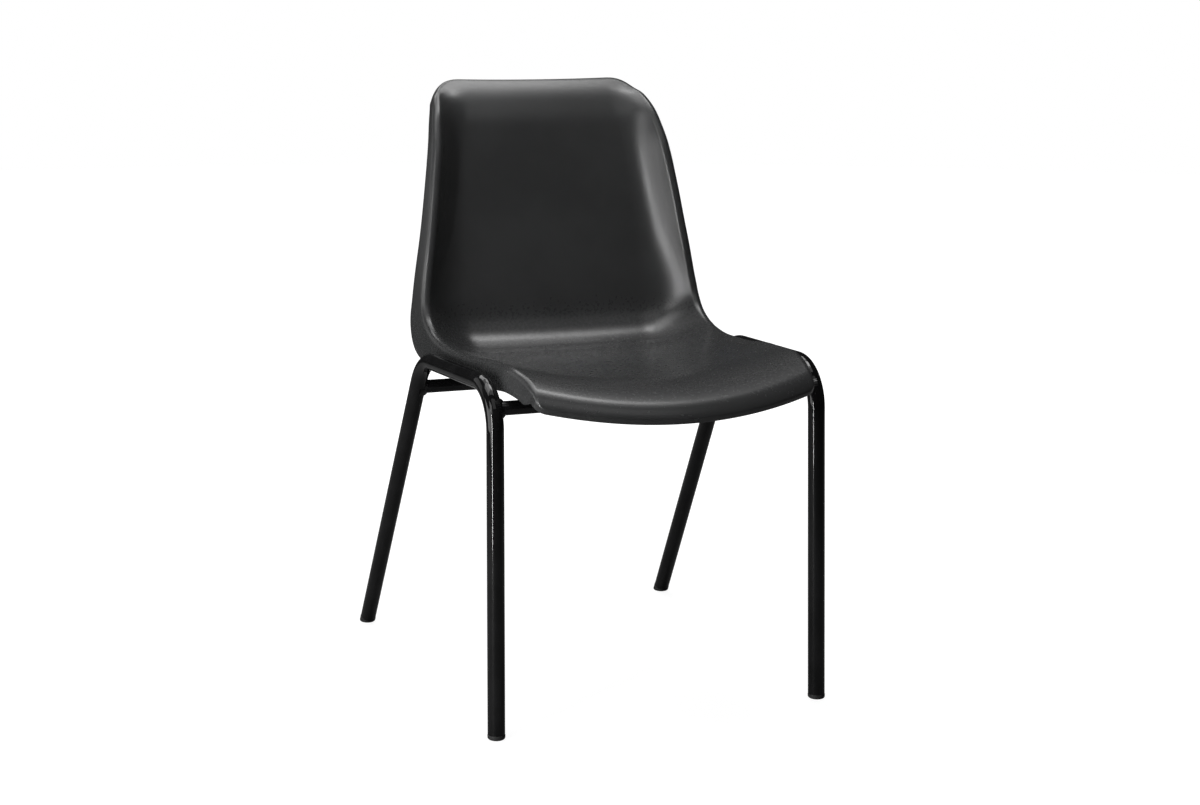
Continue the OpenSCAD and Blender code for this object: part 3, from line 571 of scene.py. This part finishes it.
class Stock:
    """Collects the points and faces of one piece."""

    def __init__(self):
        self.points, self.faces = [], []

    def add(self, points, faces):
        base = len(self.points)
        self.points += [tuple(map(float, p)) for p in points]
        self.faces += [tuple(base + i for i in f) for f in faces]

    def loft(self, rings, closed=False, caps=(True, True)):
        """Skins rings of equally many points. closed joins the last ring to the first; without
        it, caps say which of the two ends are closed with fans."""
        n, m = len(rings[0]), len(rings)
        points = [p for ring in rings for p in ring]
        faces = []
        for i in range(m if closed else m - 1):
            for k in range(n):
                a, b = i * n + k, i * n + (k + 1) % n
                c, d = (i + 1) % m * n + (k + 1) % n, (i + 1) % m * n + k
                faces.append((a, b, c, d))
        for end, wanted in ((0, caps[0]), (m - 1, caps[1])):
            if wanted and not closed:
                points.append(np.mean(np.asarray(rings[end]), axis=0))
                hub = len(points) - 1
                faces += [(end * n + k, end * n + (k + 1) % n, hub) for k in range(n)]
        self.add(points, faces)
        return self


def make_piece(name, stock, finish, replaced, crease=40):
    """Turns collected stock into a smooth-shaded piece that rides on the chair's body."""
    mesh = bpy.data.meshes.new(name)
    mesh.from_pydata(stock.points, [], stock.faces)
    work = bmesh.new()
    work.from_mesh(mesh)
    bmesh.ops.remove_doubles(work, verts=work.verts, dist=1e-6)
    bmesh.ops.recalc_face_normals(work, faces=work.faces)
    for face in work.faces:
        face.smooth = True
    work.to_mesh(mesh)
    work.free()
    mesh.set_sharp_from_angle(angle=math.radians(crease))
    mesh.materials.append(finish)
    piece = bpy.data.objects.new(name, mesh)
    bpy.context.scene.collection.objects.link(piece)
    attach(piece, BODY)
    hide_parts(*replaced)


def painted(name, stock, node, crease=40):
    """A powder-coated steel piece in place of one node of the frame."""
    make_piece(name, stock, finish_for("powder_coat"), [node], crease)


def ring_at(centre, a, b, r, n):
    """A circle of n points about a centre, in the plane of the unit vectors a and b."""
    t = round_turn(n)[:, None]
    return np.asarray(centre) + r * (np.cos(t) * a + np.sin(t) * b)


# ---- Finishes -----------------------------------------------------------------------------


class Nodes:
    """Short ways to lay the nodes of a material or a world."""

    def __init__(self, tree):
        self.nodes, self.links = tree.nodes, tree.links
        self.nodes.clear()

    def join(self, target, value):
        """Links another node's output to the socket, or sets the socket to a plain value."""
        if isinstance(value, bpy.types.NodeSocket):
            self.links.new(value, target)
        else:
            target.default_value = value

    def lay(self, kind, inputs, out=0, **settings):
        """Adds a node, fills its inputs and returns one of its outputs, if it has any."""
        node = self.nodes.new("ShaderNode" + kind)
        for key, value in settings.items():
            setattr(node, key, value)
        for key, value in inputs.items():
            self.join(node.inputs[key], value)
        return node.outputs[out] if node.outputs else node

    def seen(self, others, camera):
        """One shader for what the camera sees and another for every other ray."""
        return self.lay("MixShader", {0: self.lay("LightPath", {}, "Is Camera Ray"), 1: others, 2: camera})


class Finish(Nodes):
    """A material and the textures it is made of. Noise scales are per metre."""

    def __init__(self, name, base, roughness, metallic=0.0):
        self.material = bpy.data.materials.new(name)
        self.material.use_nodes = True
        self.material.diffuse_color = (*base, 1)
        super().__init__(self.material.node_tree)
        self.shader = self.nodes.new("ShaderNodeBsdfPrincipled")
        self.output = self.lay("OutputMaterial", {"Surface": self.shader.outputs["BSDF"]})
        self.place = self.lay("TexCoord", {}, "Object")
        self.normal = None
        self.set("Base Color", (*base, 1))
        self.set("Roughness", roughness)
        self.set("Metallic", metallic)

    def set(self, key, value):
        self.join(self.shader.inputs[key], value)

    def noise(self, scale, detail=3.0, roughness=0.55, stretch=None):
        place = self.place
        if stretch:
            place = self.lay("Mapping", {"Scale": stretch[0], "Rotation": stretch[1], "Vector": place})
        inputs = {"Scale": scale, "Detail": detail, "Roughness": roughness, "Vector": place}
        return self.lay("TexNoise", inputs)

    def cells(self, scale):
        return self.lay("TexVoronoi", {"Scale": scale, "Vector": self.place}, "Distance")

    def spread(self, value, old, new):
        """Maps one range onto another with soft ends."""
        ends = dict(zip(("From Min", "From Max", "To Min", "To Max"), (*old, *new)))
        return self.lay("MapRange", {"Value": value, **ends}, "Result", interpolation_type="SMOOTHSTEP")

    def sum(self, a, b, how="ADD"):
        return self.lay("Math", {0: a, 1: b}, operation=how)

    def tint(self, factor, *colours):
        """Mixes two colours, each a plain one or a node's output."""
        a, b = ((*c, 1) if isinstance(c, tuple) else c for c in colours)
        return self.lay("Mix", {0: factor, 6: a, 7: b}, 2, data_type="RGBA")

    def height(self):
        return self.lay("SeparateXYZ", {0: self.place}, 2)

    def bump(self, value, depth, strength):
        inputs = {"Strength": strength, "Distance": depth, "Height": value}
        if self.normal:
            inputs["Normal"] = self.normal
        self.normal = self.lay("Bump", inputs, "Normal")

    def done(self, base, roughness=None):
        for key, value in (("Base Color", base), ("Roughness", roughness), ("Normal", self.normal)):
            if value:
                self.set(key, value)
        return self.material


def shade(base, factor):
    return tuple(min(1.0, c * factor) for c in base)


def moulded_shell(finishes):
    """Dark moulded plastic with a fine pebbled grain, faint flow clouds, scuffs and a seat
    rubbed a little smoother by use."""
    base, roughness = tuple(finishes.shell_colour), finishes.shell_roughness
    f = Finish("moulded_shell", base, roughness)
    f.set("IOR", 1.49)
    scratches = f.noise(26, 4, 0.6, ((1, 9, 1), (0.2, 0.4, 0.9)))
    tone = f.tint(f.spread(f.noise(9, 3), (0.3, 0.7), (0, 1)), shade(base, 0.9), shade(base, 1.1))
    tone = f.tint(f.spread(f.noise(1400, 2), (0.4, 0.7), (0, 0.2)), tone, shade(base, 1.4))
    worn = f.spread(f.height(), (0.40, 0.52), (-0.035, 0.02))
    rough = f.spread(f.noise(240, 4), (0.3, 0.7), (roughness - 0.02, roughness + 0.025))
    rough = f.sum(f.sum(rough, worn), f.spread(scratches, (0.62, 0.72), (0, 0.06)))
    f.bump(f.spread(f.cells(900), (0.0, 0.6), (1, 0)), finishes.grain_depth, 0.2)
    f.bump(f.noise(420, 2), finishes.grain_depth * 0.8, 0.1)
    f.bump(f.noise(14, 2), 0.0006, 0.1)
    return f.done(tone, rough)


def powder_coat(finishes):
    """Gloss black powder coat with a slight orange peel and a few dust nibs."""
    base, roughness = tuple(finishes.paint_colour), finishes.paint_roughness
    f = Finish("powder_coat", base, roughness)
    f.set("IOR", 1.5)
    f.set("Specular IOR Level", 0.36)
    tone = f.tint(f.spread(f.noise(30, 3), (0.35, 0.7), (0, 1)), base, shade(base, 1.8))
    rough = f.spread(f.noise(70, 4), (0.3, 0.75), (roughness - 0.02, roughness + 0.05))
    f.bump(f.noise(330, 1.5, 0.4), 0.00006, 0.08)
    f.bump(f.spread(f.cells(160), (0.0, 0.06), (1, 0)), 0.00008, 0.08)
    return f.done(tone, rough)


def foot_plastic(finishes):
    """Plain black plug plastic, scuffed pale where it slides on the floor."""
    base, roughness = tuple(finishes.foot_colour), finishes.foot_roughness
    f = Finish("foot_plastic", base, roughness)
    low = f.spread(f.height(), (0.0, 0.0045), (1, 0))
    scuff = f.sum(low, f.spread(f.noise(300, 4), (0.4, 0.65), (0, 1)), "MULTIPLY")
    tone = f.tint(scuff, base, shade(base, 5))
    rough = f.spread(f.noise(180, 3), (0.3, 0.7), (roughness - 0.06, roughness + 0.12))
    f.bump(f.noise(900, 3), 0.00008, 0.4)
    return f.done(tone, rough)


def bare_metal(name, base, roughness, clouds, dark, patches, dull, grain):
    """Turned metal with darker clouds, duller patches and a fine grain round it."""
    f = Finish(name, base, roughness, 1.0)
    tone = f.tint(f.spread(f.noise(clouds, 3), (0.35, 0.65), (0, 1)), shade(base, dark), base)
    rough = f.spread(f.noise(patches, 3), (0.3, 0.7), dull)
    f.bump(f.noise(grain, 2, 0.5, ((1, 1, 6), (0, 0, 0))), 0.00003, 0.4)
    return f.done(tone, rough)


def zinc_plate(finishes):
    """Zinc-plated steel."""
    base = tuple(finishes.zinc_colour)
    return bare_metal("zinc_plate", base, 0.3, 160, 0.78, 420, (0.24, 0.42), 1500)


def turned_brass(finishes):
    """Plain brass."""
    base = tuple(finishes.brass_colour)
    return bare_metal("turned_brass", base, 0.28, 220, 0.75, 600, (0.22, 0.38), 1800)


def finish_for(name):
    """The named finish, made on first use."""
    if name not in bpy.data.materials:
        {"moulded_shell": moulded_shell, "powder_coat": powder_coat, "foot_plastic": foot_plastic,
         "zinc_plate": zinc_plate, "turned_brass": turned_brass}[name](bpy.context.scene.chair_finishes)
    return bpy.data.materials[name]


# ---- Pieces -------------------------------------------------------------------------------

# A screw boss: facets, flare into the wall and its steps, rounding of its lower edge, and how
# far it sinks in
BOSS_FACETS, BOSS_FLARE, FLARE_STEPS, BOSS_LIP, BOSS_SINK = 48, 0.0022, 5, 0.0006, 0.0002
# A rib: sections, start inside its boss, reach, half thickness, how far it sinks into the wall,
# height of its root as a share of the boss, and how much its slope is eased
RIB_SECTIONS, RIB_START, RIB_REACH, RIB_HALF, RIB_SINK = 9, 0.001, 0.026, 0.0009, 0.0003
RIB_ROOT, RIB_EASE = 0.35, 0.4
# Its section as [share of the half thickness, share of the height]
RIB_OUTLINE = ((-1.35, 1), (-1, 0.6), (-0.9, 0.12), (-0.5, 0), (0.5, 0), (0.9, 0.12), (1, 0.6), (1.35, 1))
# The gate mark: facets, place along the seat, a height under the seat to look up from, and rings
# as [radius, height over the wall's underside]
GATE_FACETS, GATE_AT, GATE_UNDER = 32, -0.09, 0.3
GATE_RINGS = ((0.0065, 0.0002), (0.0060, -0.0007), (0.0055, -0.0008), (0.0022, -0.0008), (0.0016, -0.0014))
# Rounding of a side tube's cut ends, and how far their bores go in
TUBE_LIP, TUBE_INSIDE = 0.0004, 0.012
# Rings along a crossbar's middle part, and that part's share of its length
BAR_RINGS, BAR_MIDDLE = 21, 0.9118
# A weld bead: facets, steps over its face, how far it sinks in, ripples round the tube and how
# much they wander, leg's mean, ripple and drift, and bulge's mean, ripple and slant
WELD_FACETS, WELD_STEPS, WELD_SINK = 168, 7, 0.0004
WELD_RIPPLES, WELD_WANDER, WELD_LEG, WELD_BULGE = 13, 0.4, (0.97, 0.07, 0.05), (0.1, 0.09, 0.7)
# A tab: bevel of its edges, how far it sinks into the crossbar, steps round its end, down each
# side and along its root, and how much shorter its weld is
TAB_EDGE, TAB_SINK, TAB_STEPS, SEAM_SHORT = 0.0005, 0.0003, (36, 5, 10), 0.003
# A tab's weld: radius, rings, facets, ripples with their mean and height, and least share at its ends
SEAM_R, SEAM_RINGS, SEAM_FACETS, SEAM_RIPPLE, SEAM_END = 0.0015, 49, 12, (16, 0.92, 0.12), 0.02
# Bevel that the scene adds to the CAD's metal parts
METAL_EDGE = 0.0002
# A plug's shank: core as a share of the bore, number of fins and their spacing as a share of its
# length, the gap round them, and the heights of a fin's rings above its lower root
PLUG_CORE, FINS, FIN_STEP, FIN_GAP, FIN_RISES = 0.8, 3, 0.28, 0.0002, (0.0022, 0.002, 0.0002, 0)
# The upper edge of a plug's head, as [way in, way down]
HEAD_EDGE = ((0.0006, 0), (0.0002, 0.0002), (0, 0.0006), (0, 0.0009))
# Steps round the plug's lower edge, and rings of its sole as shares of the radius
SOLE_STEPS, SOLE_RINGS = 6, (0.5, 0.2)


def frame_lines(context):
    """The frame's sizes and lines."""
    scene = context.scene
    return scene.chair_frame, FrameForm(scene.chair_frame, scene.chair_shell)


class CHAIR_OT_shell(Operator):
    """Build the moulded seat and back with its rolled edge, screw bosses and stiffening ribs"""

    bl_idname = "chair.shell"
    bl_label = "Moulded shell"

    def execute(self, context):
        size = context.scene.chair_shell
        steel, lines = frame_lines(context)
        form = ShellForm(size)
        rows, cols = form.rows(), SHELL_COLS
        grid, normals = form.grid(rows, cols)
        rim, rings = form.edge(rows, cols, grid, normals)
        under = grid - size.wall * normals
        shift = np.array([0, lines.shift, 0])
        grid, under, rings = grid + shift, under + shift, [r + shift for r in rings]

        wide, n = cols + 1, len(rim)
        skin = [(i * wide + j, i * wide + j + 1, (i + 1) * wide + j + 1, (i + 1) * wide + j)
                for i in range(len(rows) - 1) for j in range(cols)]
        first = len(rows) * wide
        inner = first + len(rings) * n
        rim_at = [i * wide + j for i, j in rim]
        loops = [rim_at] + [[first + m * n + k for k in range(n)] for m in range(len(rings))]
        loops.append([inner + k for k in rim_at])
        faces = skin + [tuple(inner + k for k in reversed(f)) for f in skin]
        for a, b in zip(loops, loops[1:]):
            faces += [(b[k], b[(k + 1) % n], a[(k + 1) % n], a[k]) for k in range(n)]

        stock = Stock()
        stock.add(np.concatenate([grid.reshape(-1, 3), *rings, under.reshape(-1, 3)]), faces)
        tree = BVHTree.FromPolygons([tuple(p) for p in under.reshape(-1, 3)], skin)
        for bar in BARS:
            x, y, z = lines.screws[bar]
            for side, _ in SIDES:
                self.boss(stock, tree, steel, Vector((side * x, y + lines.shift, z)))
        self.gate_mark(stock, tree, lines.shift)
        make_piece("shell_moulding", stock, finish_for("moulded_shell"), ["shell"], 50)
        return {"FINISHED"}

    def roof(self, tree, x, y, z):
        """Height of the wall's underside above a point."""
        hit = tree.ray_cast(Vector((x, y, z)), Vector((0, 0, 1)))[0]
        if hit is None:
            raise RuntimeError("There is no shell above the place %.3f, %.3f" % (x, y))
        return hit[2]

    def boss(self, stock, tree, steel, at):
        """A hollow boss that flares into the wall, with four sloping ribs."""
        r, bore, flare, lip = steel.boss_d / 2, steel.insert_d / 2, BOSS_FLARE, BOSS_LIP
        turn = round_turn(BOSS_FACETS)
        way = np.stack([np.cos(turn), np.sin(turn)], 1)
        places = [(bore, steel.insert_l), (bore, lip / 2), (bore + lip / 2, 0), (r - lip, 0)]
        places += [(r - lip + lip * math.sin(a), lip * (1 - math.cos(a)))
                   for a in (math.pi / 6, math.pi / 3, math.pi / 2)]
        rings = [[(at.x + q * c, at.y + q * s, at.z + rise) for c, s in way] for q, rise in places]
        for k in range(FLARE_STEPS + 1):
            a = math.pi / 2 * k / FLARE_STEPS
            q, drop = r + flare * (1 - math.cos(a)), flare * (1 - math.sin(a))
            sink = BOSS_SINK * math.sin(a)
            ring = [(at.x + q * c, at.y + q * s) for c, s in way]
            rings.append([(x, y, self.roof(tree, x, y, at.z) - drop + sink) for x, y in ring])
        stock.loft(rings, caps=(True, False))
        for k in range(4):
            a = math.pi / 4 + math.pi / 2 * k
            self.rib(stock, tree, at, np.array([math.cos(a), math.sin(a)]), r)

    def rib(self, stock, tree, at, way, r):
        """A thin plate from a boss out along the underside, thicker at its root."""
        across = np.array([-way[1], way[0]])
        sections = []
        for t in np.linspace(0, 1, RIB_SECTIONS):
            d = r - RIB_START + RIB_REACH * t
            x, y = at.x + way[0] * d, at.y + way[1] * d
            roof = self.roof(tree, x, y, at.z)
            top = roof + RIB_SINK
            foot = mix(at.z + RIB_ROOT * (roof - at.z), roof, ease(t) * RIB_EASE + t * (1 - RIB_EASE))
            sections.append([(x + across[0] * RIB_HALF * out, y + across[1] * RIB_HALF * out,
                              mix(foot, top, level) if level < 1 else top) for out, level in RIB_OUTLINE])
        stock.loft(sections)

    def gate_mark(self, stock, tree, shift):
        """The small round scar under the seat where the plastic was let into the mould."""
        y = GATE_AT + shift
        z = self.roof(tree, 0, y, GATE_UNDER)
        rings = [ring_at((0, y, z + rise), X, Y, r, GATE_FACETS) for r, rise in GATE_RINGS]
        stock.loft(rings, caps=(False, True))


class CHAIR_OT_side_tubes(Operator):
    """Bend the two side tubes: front leg, rail and raked rear leg in one"""

    bl_idname = "chair.side_tubes"
    bl_label = "Side tubes"

    def execute(self, context):
        size, lines = frame_lines(context)
        line = lines.path(size.front_foot_h, size.rear_foot_h, BEND_STEPS)
        run = unit_rows(np.gradient(line, axis=0))
        run[0], run[-1] = unit_rows(line[1] - line[0]), unit_rows(line[-1] - line[-2])
        turn = round_turn(ROUND)
        tube_r, bore, lip = lines.tube_r, lines.tube_r - size.tube_wall, TUBE_LIP
        # Rings of a cut end from its bore over the rim to the outside, as [radius, way into the tube]
        mouth = ((bore, TUBE_INSIDE), (bore, lip), (bore + lip, 0), (tube_r - lip, 0), (tube_r, lip))
        for side, name in SIDES:
            def ring(spot, heading, r, ahead=0):
                spot = spot + heading * ahead
                u = spot[0] - heading[1] * r * np.cos(turn)
                v = spot[1] + heading[0] * r * np.cos(turn)
                return lines.place(side, r * np.sin(turn), u, v)

            rings = [ring(line[0], run[0], r, ahead) for r, ahead in mouth]
            rings += [ring(p, h, tube_r) for p, h in zip(line[1:-1], run[1:-1])]
            rings += [ring(line[-1], run[-1], r, -ahead) for r, ahead in reversed(mouth)]
            node = name + "_side_tube"
            painted(node + "_bent", Stock().loft(rings), node)
        return {"FINISHED"}


class CHAIR_OT_crossbars(Operator):
    """Build the two crossbars, their ends shaped to the side tubes"""

    bl_idname = "chair.crossbars"
    bl_label = "Crossbars"

    def execute(self, context):
        lines = frame_lines(context)[1]
        around = round_turn(ROUND)
        for bar in BARS:
            end = lines.saddle(bar, around, lines.bar_r)
            middle = lines.half_w * np.linspace(-BAR_MIDDLE, BAR_MIDDLE, BAR_RINGS)
            places = [-end, *(np.full(ROUND, x) for x in middle), end]
            rings = [lines.round_bar(bar, x, lines.bar_r, around) for x in places]
            painted(bar + "_crossbar_tube", Stock().loft(rings), bar + "_crossbar")
        return {"FINISHED"}


class CHAIR_OT_welds(Operator):
    """Lay the rippled weld beads where the crossbars meet the side tubes"""

    bl_idname = "chair.welds"
    bl_label = "Weld beads"

    def execute(self, context):
        size, lines = frame_lines(context)
        around = round_turn(WELD_FACETS)
        r = lines.bar_r
        ripple = np.abs(np.sin(around * WELD_RIPPLES + WELD_WANDER * np.sin(3 * around)))
        leg_mean, leg_ripple, drift = WELD_LEG
        leg = size.weld * (leg_mean + leg_ripple * ripple + drift * np.sin(2 * around + 1))
        bulge_mean, bulge_ripple, slant = WELD_BULGE
        for bar in BARS:
            corner, outer = lines.saddle(bar, around, r), lines.saddle(bar, around, r + leg)
            section = [(corner + WELD_SINK, np.full(WELD_FACETS, r - WELD_SINK))]
            for t in np.linspace(0, 1, WELD_STEPS):
                bulge = np.sin(math.pi * t) * size.weld * (bulge_mean + bulge_ripple * ripple) * slant
                section.append((mix(corner - leg, outer, t) - bulge, mix(r, r + leg, t) + bulge))
            for side, name in SIDES:
                rings = [lines.round_bar(bar, side * x, q, around) for x, q in section]
                node = "%s_%s_weld" % (bar, name)
                painted(node + "_bead", Stock().loft(rings, closed=True), node, 70)
        return {"FINISHED"}


class CHAIR_OT_tabs(Operator):
    """Build the four screw tabs with their chamfered edges, holes and weld beads"""

    bl_idname = "chair.tabs"
    bl_label = "Screw tabs"

    def execute(self, context):
        size, lines = frame_lines(context)
        for bar in BARS:
            y, z = lines.bars[bar]
            screw_x, screw_y, high = lines.screws[bar]
            low, edge = high - size.tab_t, TAB_EDGE
            facing = 1 if screw_y > y else -1
            levels = [(height, *self.outlines(size, lines, abs(screw_y - y), height - z, inset))
                      for height, inset in ((low, edge), (low + edge, 0), (high - edge, 0), (high, edge))]
            loops = [(height, outer) for height, outer, _ in levels]
            loops += [(height, hole) for height, _, hole in reversed(levels)]
            for side, name in SIDES:
                x, root = side * screw_x, y + lines.shift
                stock = Stock().loft([[(x + px, root + facing * py, height) for px, py in spots]
                                      for height, spots in loops], closed=True)
                for height in (low, high):
                    seam_y = root + facing * lines.bar_half(height - z)
                    self.seam(stock, x, size.tab_w - SEAM_SHORT, seam_y, height)
                node = "%s_%s_tab" % (bar, name)
                painted(node + "_plate", stock, node, 35)
        return {"FINISHED"}

    def outlines(self, size, lines, reach, height, inset):
        """A tab's outer edge and its hole at a height over the crossbar's middle, as spots
        [across, out from the crossbar's middle]."""
        start = lines.bar_half(height) - TAB_SINK
        half, hole = size.tab_w / 2 - inset, size.tab_hole_d / 2 + inset
        turn, down, root = (np.linspace(0, 1, n + 1) for n in TAB_STEPS)
        outer = [(half * math.cos(a), reach + half * math.sin(a)) for a in math.pi * turn]
        outer += [(-half, mix(reach, start, t)) for t in down[1:]]
        outer += [(mix(-half, half, t), start) for t in root[1:]]
        outer += [(half, mix(start, reach, t)) for t in down[1:-1]]
        middle = np.array([0, reach])
        return outer, middle + hole * unit_rows(np.array(outer) - middle)

    def seam(self, stock, x, wide, y, z):
        """A short rippled bead along a tab's root."""
        ripples, mean, height = SEAM_RIPPLE
        rings = []
        for t in np.linspace(-1, 1, SEAM_RINGS):
            r = SEAM_R * math.sqrt(max(SEAM_END, 1 - abs(t) ** 6))
            r *= mean + height * abs(math.sin(t * ripples))
            rings.append(ring_at((x + t * wide / 2, y, z), Y, Z, r, SEAM_FACETS))
        stock.loft(rings)


class CHAIR_OT_fasteners(Operator):
    """Give the screws, washers and threaded inserts their metal finishes"""

    bl_idname = "chair.fasteners"
    bl_label = "Fasteners"

    def execute(self, context):
        for name, finish in (("screws", "zinc_plate"), ("washers", "zinc_plate"),
                             ("threaded_inserts", "turned_brass")):
            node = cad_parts[name]
            for holder in node.material_slots:
                holder.material = finish_for(finish)
            bevel = node.modifiers.new("edge_break", "BEVEL")
            bevel.width, bevel.segments, bevel.limit_method = METAL_EDGE, 2, "ANGLE"
        return {"FINISHED"}


class CHAIR_OT_feet(Operator):
    """Build the four foot plugs: rounded heads on the floor, ribbed shanks in the tubes"""

    bl_idname = "chair.feet"
    bl_label = "Foot plugs"

    def execute(self, context):
        size, lines = frame_lines(context)
        for end, foot, rake, head in (("front", lines.front_foot, size.front_rake, size.front_foot_h),
                                      ("rear", lines.rear_foot, -size.rear_rake, size.rear_foot_h)):
            for side, name in SIDES:
                node = "%s_%s_foot" % (end, name)
                stock = Stock().loft(self.skin(size, lines, side, foot, rake, head))
                make_piece(node + "_plug", stock, finish_for("foot_plastic"), [node], 35)
        return {"FINISHED"}

    def skin(self, size, lines, side, foot, rake, head):
        """A plug's rings from the top of its shank down to the middle of its sole."""
        r, rnd, bore = size.foot_d / 2, size.foot_round, lines.tube_r - size.tube_wall
        core, fin = bore * PLUG_CORE, bore - FIN_GAP
        turn, up = round_turn(ROUND), np.array([math.sin(rake), math.cos(rake)])

        def ring(radius, height):
            u = foot + up[0] * height + up[1] * radius * np.cos(turn)
            v = up[1] * height - up[0] * radius * np.cos(turn)
            return lines.place(side, radius * np.sin(turn), u, v)

        def landed(radius, level):
            """A ring of the plug's skin at one height above the floor."""
            top, low = ring(radius, head), ring(radius, 0)
            return mix(low, top, (level - low[:, 2:]) / (top[:, 2:] - low[:, 2:]))

        rings = [ring(core, head + size.foot_shank_l)]
        for k in range(FINS, 0, -1):
            at = head + size.foot_shank_l * FIN_STEP * k
            rings += [ring(q, at + rise) for q, rise in zip((core, fin, fin, core), FIN_RISES)]
        rings += [ring(core, head)] + [ring(r - inset, head - drop) for inset, drop in HEAD_EDGE]
        for k in range(SOLE_STEPS + 1):
            a = math.pi / 2 * k / SOLE_STEPS
            rings.append(landed(r - rnd * (1 - math.cos(a)), rnd * (1 - math.sin(a))))
        return rings + [landed(r * part, 0.0) for part in SOLE_RINGS]


class CHAIR_OT_studio(Operator):
    """Set up the pale floor, the soft lights and the camera"""

    bl_idname = "chair.studio"
    bl_label = "Studio"

    def execute(self, context):
        scene = context.scene
        studio = scene.chair_studio
        self.floor(scene, studio)
        self.air(scene, studio)
        for name, place, aim, wide, high in LIGHTS:
            self.light(scene, name, place, aim, wide, high, getattr(studio, name))
        self.camera(scene, studio, frame_lines(context)[1].shift)
        return {"FINISHED"}

    def floor(self, scene, studio):
        """White paper to the eye with soft contact shadows, darker for the light it throws back,
        and clear from below."""
        base = tuple(studio.floor_colour)
        f = Finish("floor_paper", base, 0.7)
        paper = f.done(f.tint(f.spread(f.noise(1.5, 2), (0.3, 0.7), (0, 1)), shade(base, 0.97), base))
        plain = f.shader.outputs[0]
        away = f.lay("VectorMath", {0: f.place}, "Value", operation="LENGTH")
        white = f.spread(away, GLOW_FADE, (studio.floor_glow, studio.far_glow))
        glow = f.lay("Emission", {"Strength": white})
        above = f.seen(plain, f.lay("AddShader", {0: glow, 1: plain}))
        below, clear = f.lay("NewGeometry", {}, "Backfacing"), f.lay("BsdfTransparent", {})
        f.join(f.output.inputs["Surface"], f.lay("MixShader", {0: below, 1: above, 2: clear}))
        mesh = bpy.data.meshes.new("floor")
        rim = ring_at((0, 0, 0), X, Y, FLOOR_R, FLOOR_FACETS)
        mesh.from_pydata([tuple(p) for p in rim], [], [tuple(range(FLOOR_FACETS))])
        mesh.materials.append(paper)
        floor = bpy.data.objects.new("floor", mesh)
        scene.collection.objects.link(floor)

    def air(self, scene, studio):
        """White behind the chair, softer for the light that falls on it."""
        world = bpy.data.worlds.new("studio_air")
        world.use_nodes = True
        sky, white = Nodes(world.node_tree), (1, 1, 1, 1)
        soft = sky.lay("Background", {"Color": white, "Strength": studio.room_light})
        sky.lay("OutputWorld", {0: sky.seen(soft, sky.lay("Background", {"Color": white}))})
        scene.world = world

    def light(self, scene, name, at, to, wide, high, watts):
        """A soft box that the camera doesn't see. The fills don't show in reflections either."""
        data = bpy.data.lights.new(name, "AREA")
        data.shape, data.size, data.size_y, data.energy = "RECTANGLE", wide, high, watts
        lamp = bpy.data.objects.new(name, data)
        lamp.location = at
        lamp.rotation_euler = (Vector(to) - Vector(at)).to_track_quat("-Z", "Y").to_euler()
        lamp.visible_camera = False
        lamp.visible_glossy = not name.endswith("fill")
        scene.collection.objects.link(lamp)

    def camera(self, scene, studio, shift):
        """The photograph's camera, placed from the chair's own middle."""
        data = bpy.data.cameras.new("photo_camera")
        data.sensor_fit, data.sensor_width = "HORIZONTAL", 36
        data.lens, data.shift_x = studio.lens, studio.shift
        camera = bpy.data.objects.new("photo_camera", data)
        x, y, z = CAMERA_AT
        camera.location = (x, y + shift, z)
        camera.rotation_euler = [math.radians(a) for a in CAMERA_TURN]
        scene.collection.objects.link(camera)
        scene.camera = camera
        scene.view_settings.view_transform = "Standard"


class CHAIR_PT_sidebar(Panel):
    """Sizes, finishes and build steps of the choir chair"""

    bl_idname = "CHAIR_PT_sidebar"
    bl_label = "Choir Chair"
    bl_space_type = "VIEW_3D"
    bl_region_type = "UI"
    bl_category = "Choir Chair"

    def draw(self, context):
        scene = context.scene
        for operator in BUILD_STEPS:
            self.layout.operator(operator.bl_idname)
        for title, group in (("Shell", scene.chair_shell), ("Frame", scene.chair_frame),
                             ("Finishes", scene.chair_finishes), ("Studio", scene.chair_studio)):
            box = self.layout.box()
            box.label(text=title)
            for key in group.__annotations__:
                box.prop(group, key)


GROUPS = {"chair_shell": ChairShellSizes, "chair_frame": ChairFrameSizes,
          "chair_finishes": ChairFinishes, "chair_studio": ChairStudio}
BUILD_STEPS = (CHAIR_OT_shell, CHAIR_OT_side_tubes, CHAIR_OT_crossbars, CHAIR_OT_welds,
               CHAIR_OT_tabs, CHAIR_OT_fasteners, CHAIR_OT_feet, CHAIR_OT_studio)


def register():
    for item in (*GROUPS.values(), *BUILD_STEPS, CHAIR_PT_sidebar):
        bpy.utils.register_class(item)
    for name, group in GROUPS.items():
        setattr(bpy.types.Scene, name, PointerProperty(type=group))


def unregister():
    for name in GROUPS:
        delattr(bpy.types.Scene, name)
    for item in reversed((*GROUPS.values(), *BUILD_STEPS, CHAIR_PT_sidebar)):
        bpy.utils.unregister_class(item)


def main():
    register()
    bpy.ops.chair.shell()
    bpy.ops.chair.side_tubes()
    bpy.ops.chair.crossbars()
    bpy.ops.chair.welds()
    bpy.ops.chair.tabs()
    bpy.ops.chair.fasteners()
    bpy.ops.chair.feet()
    bpy.ops.chair.studio()


if __name__ == "__main__":
    main()
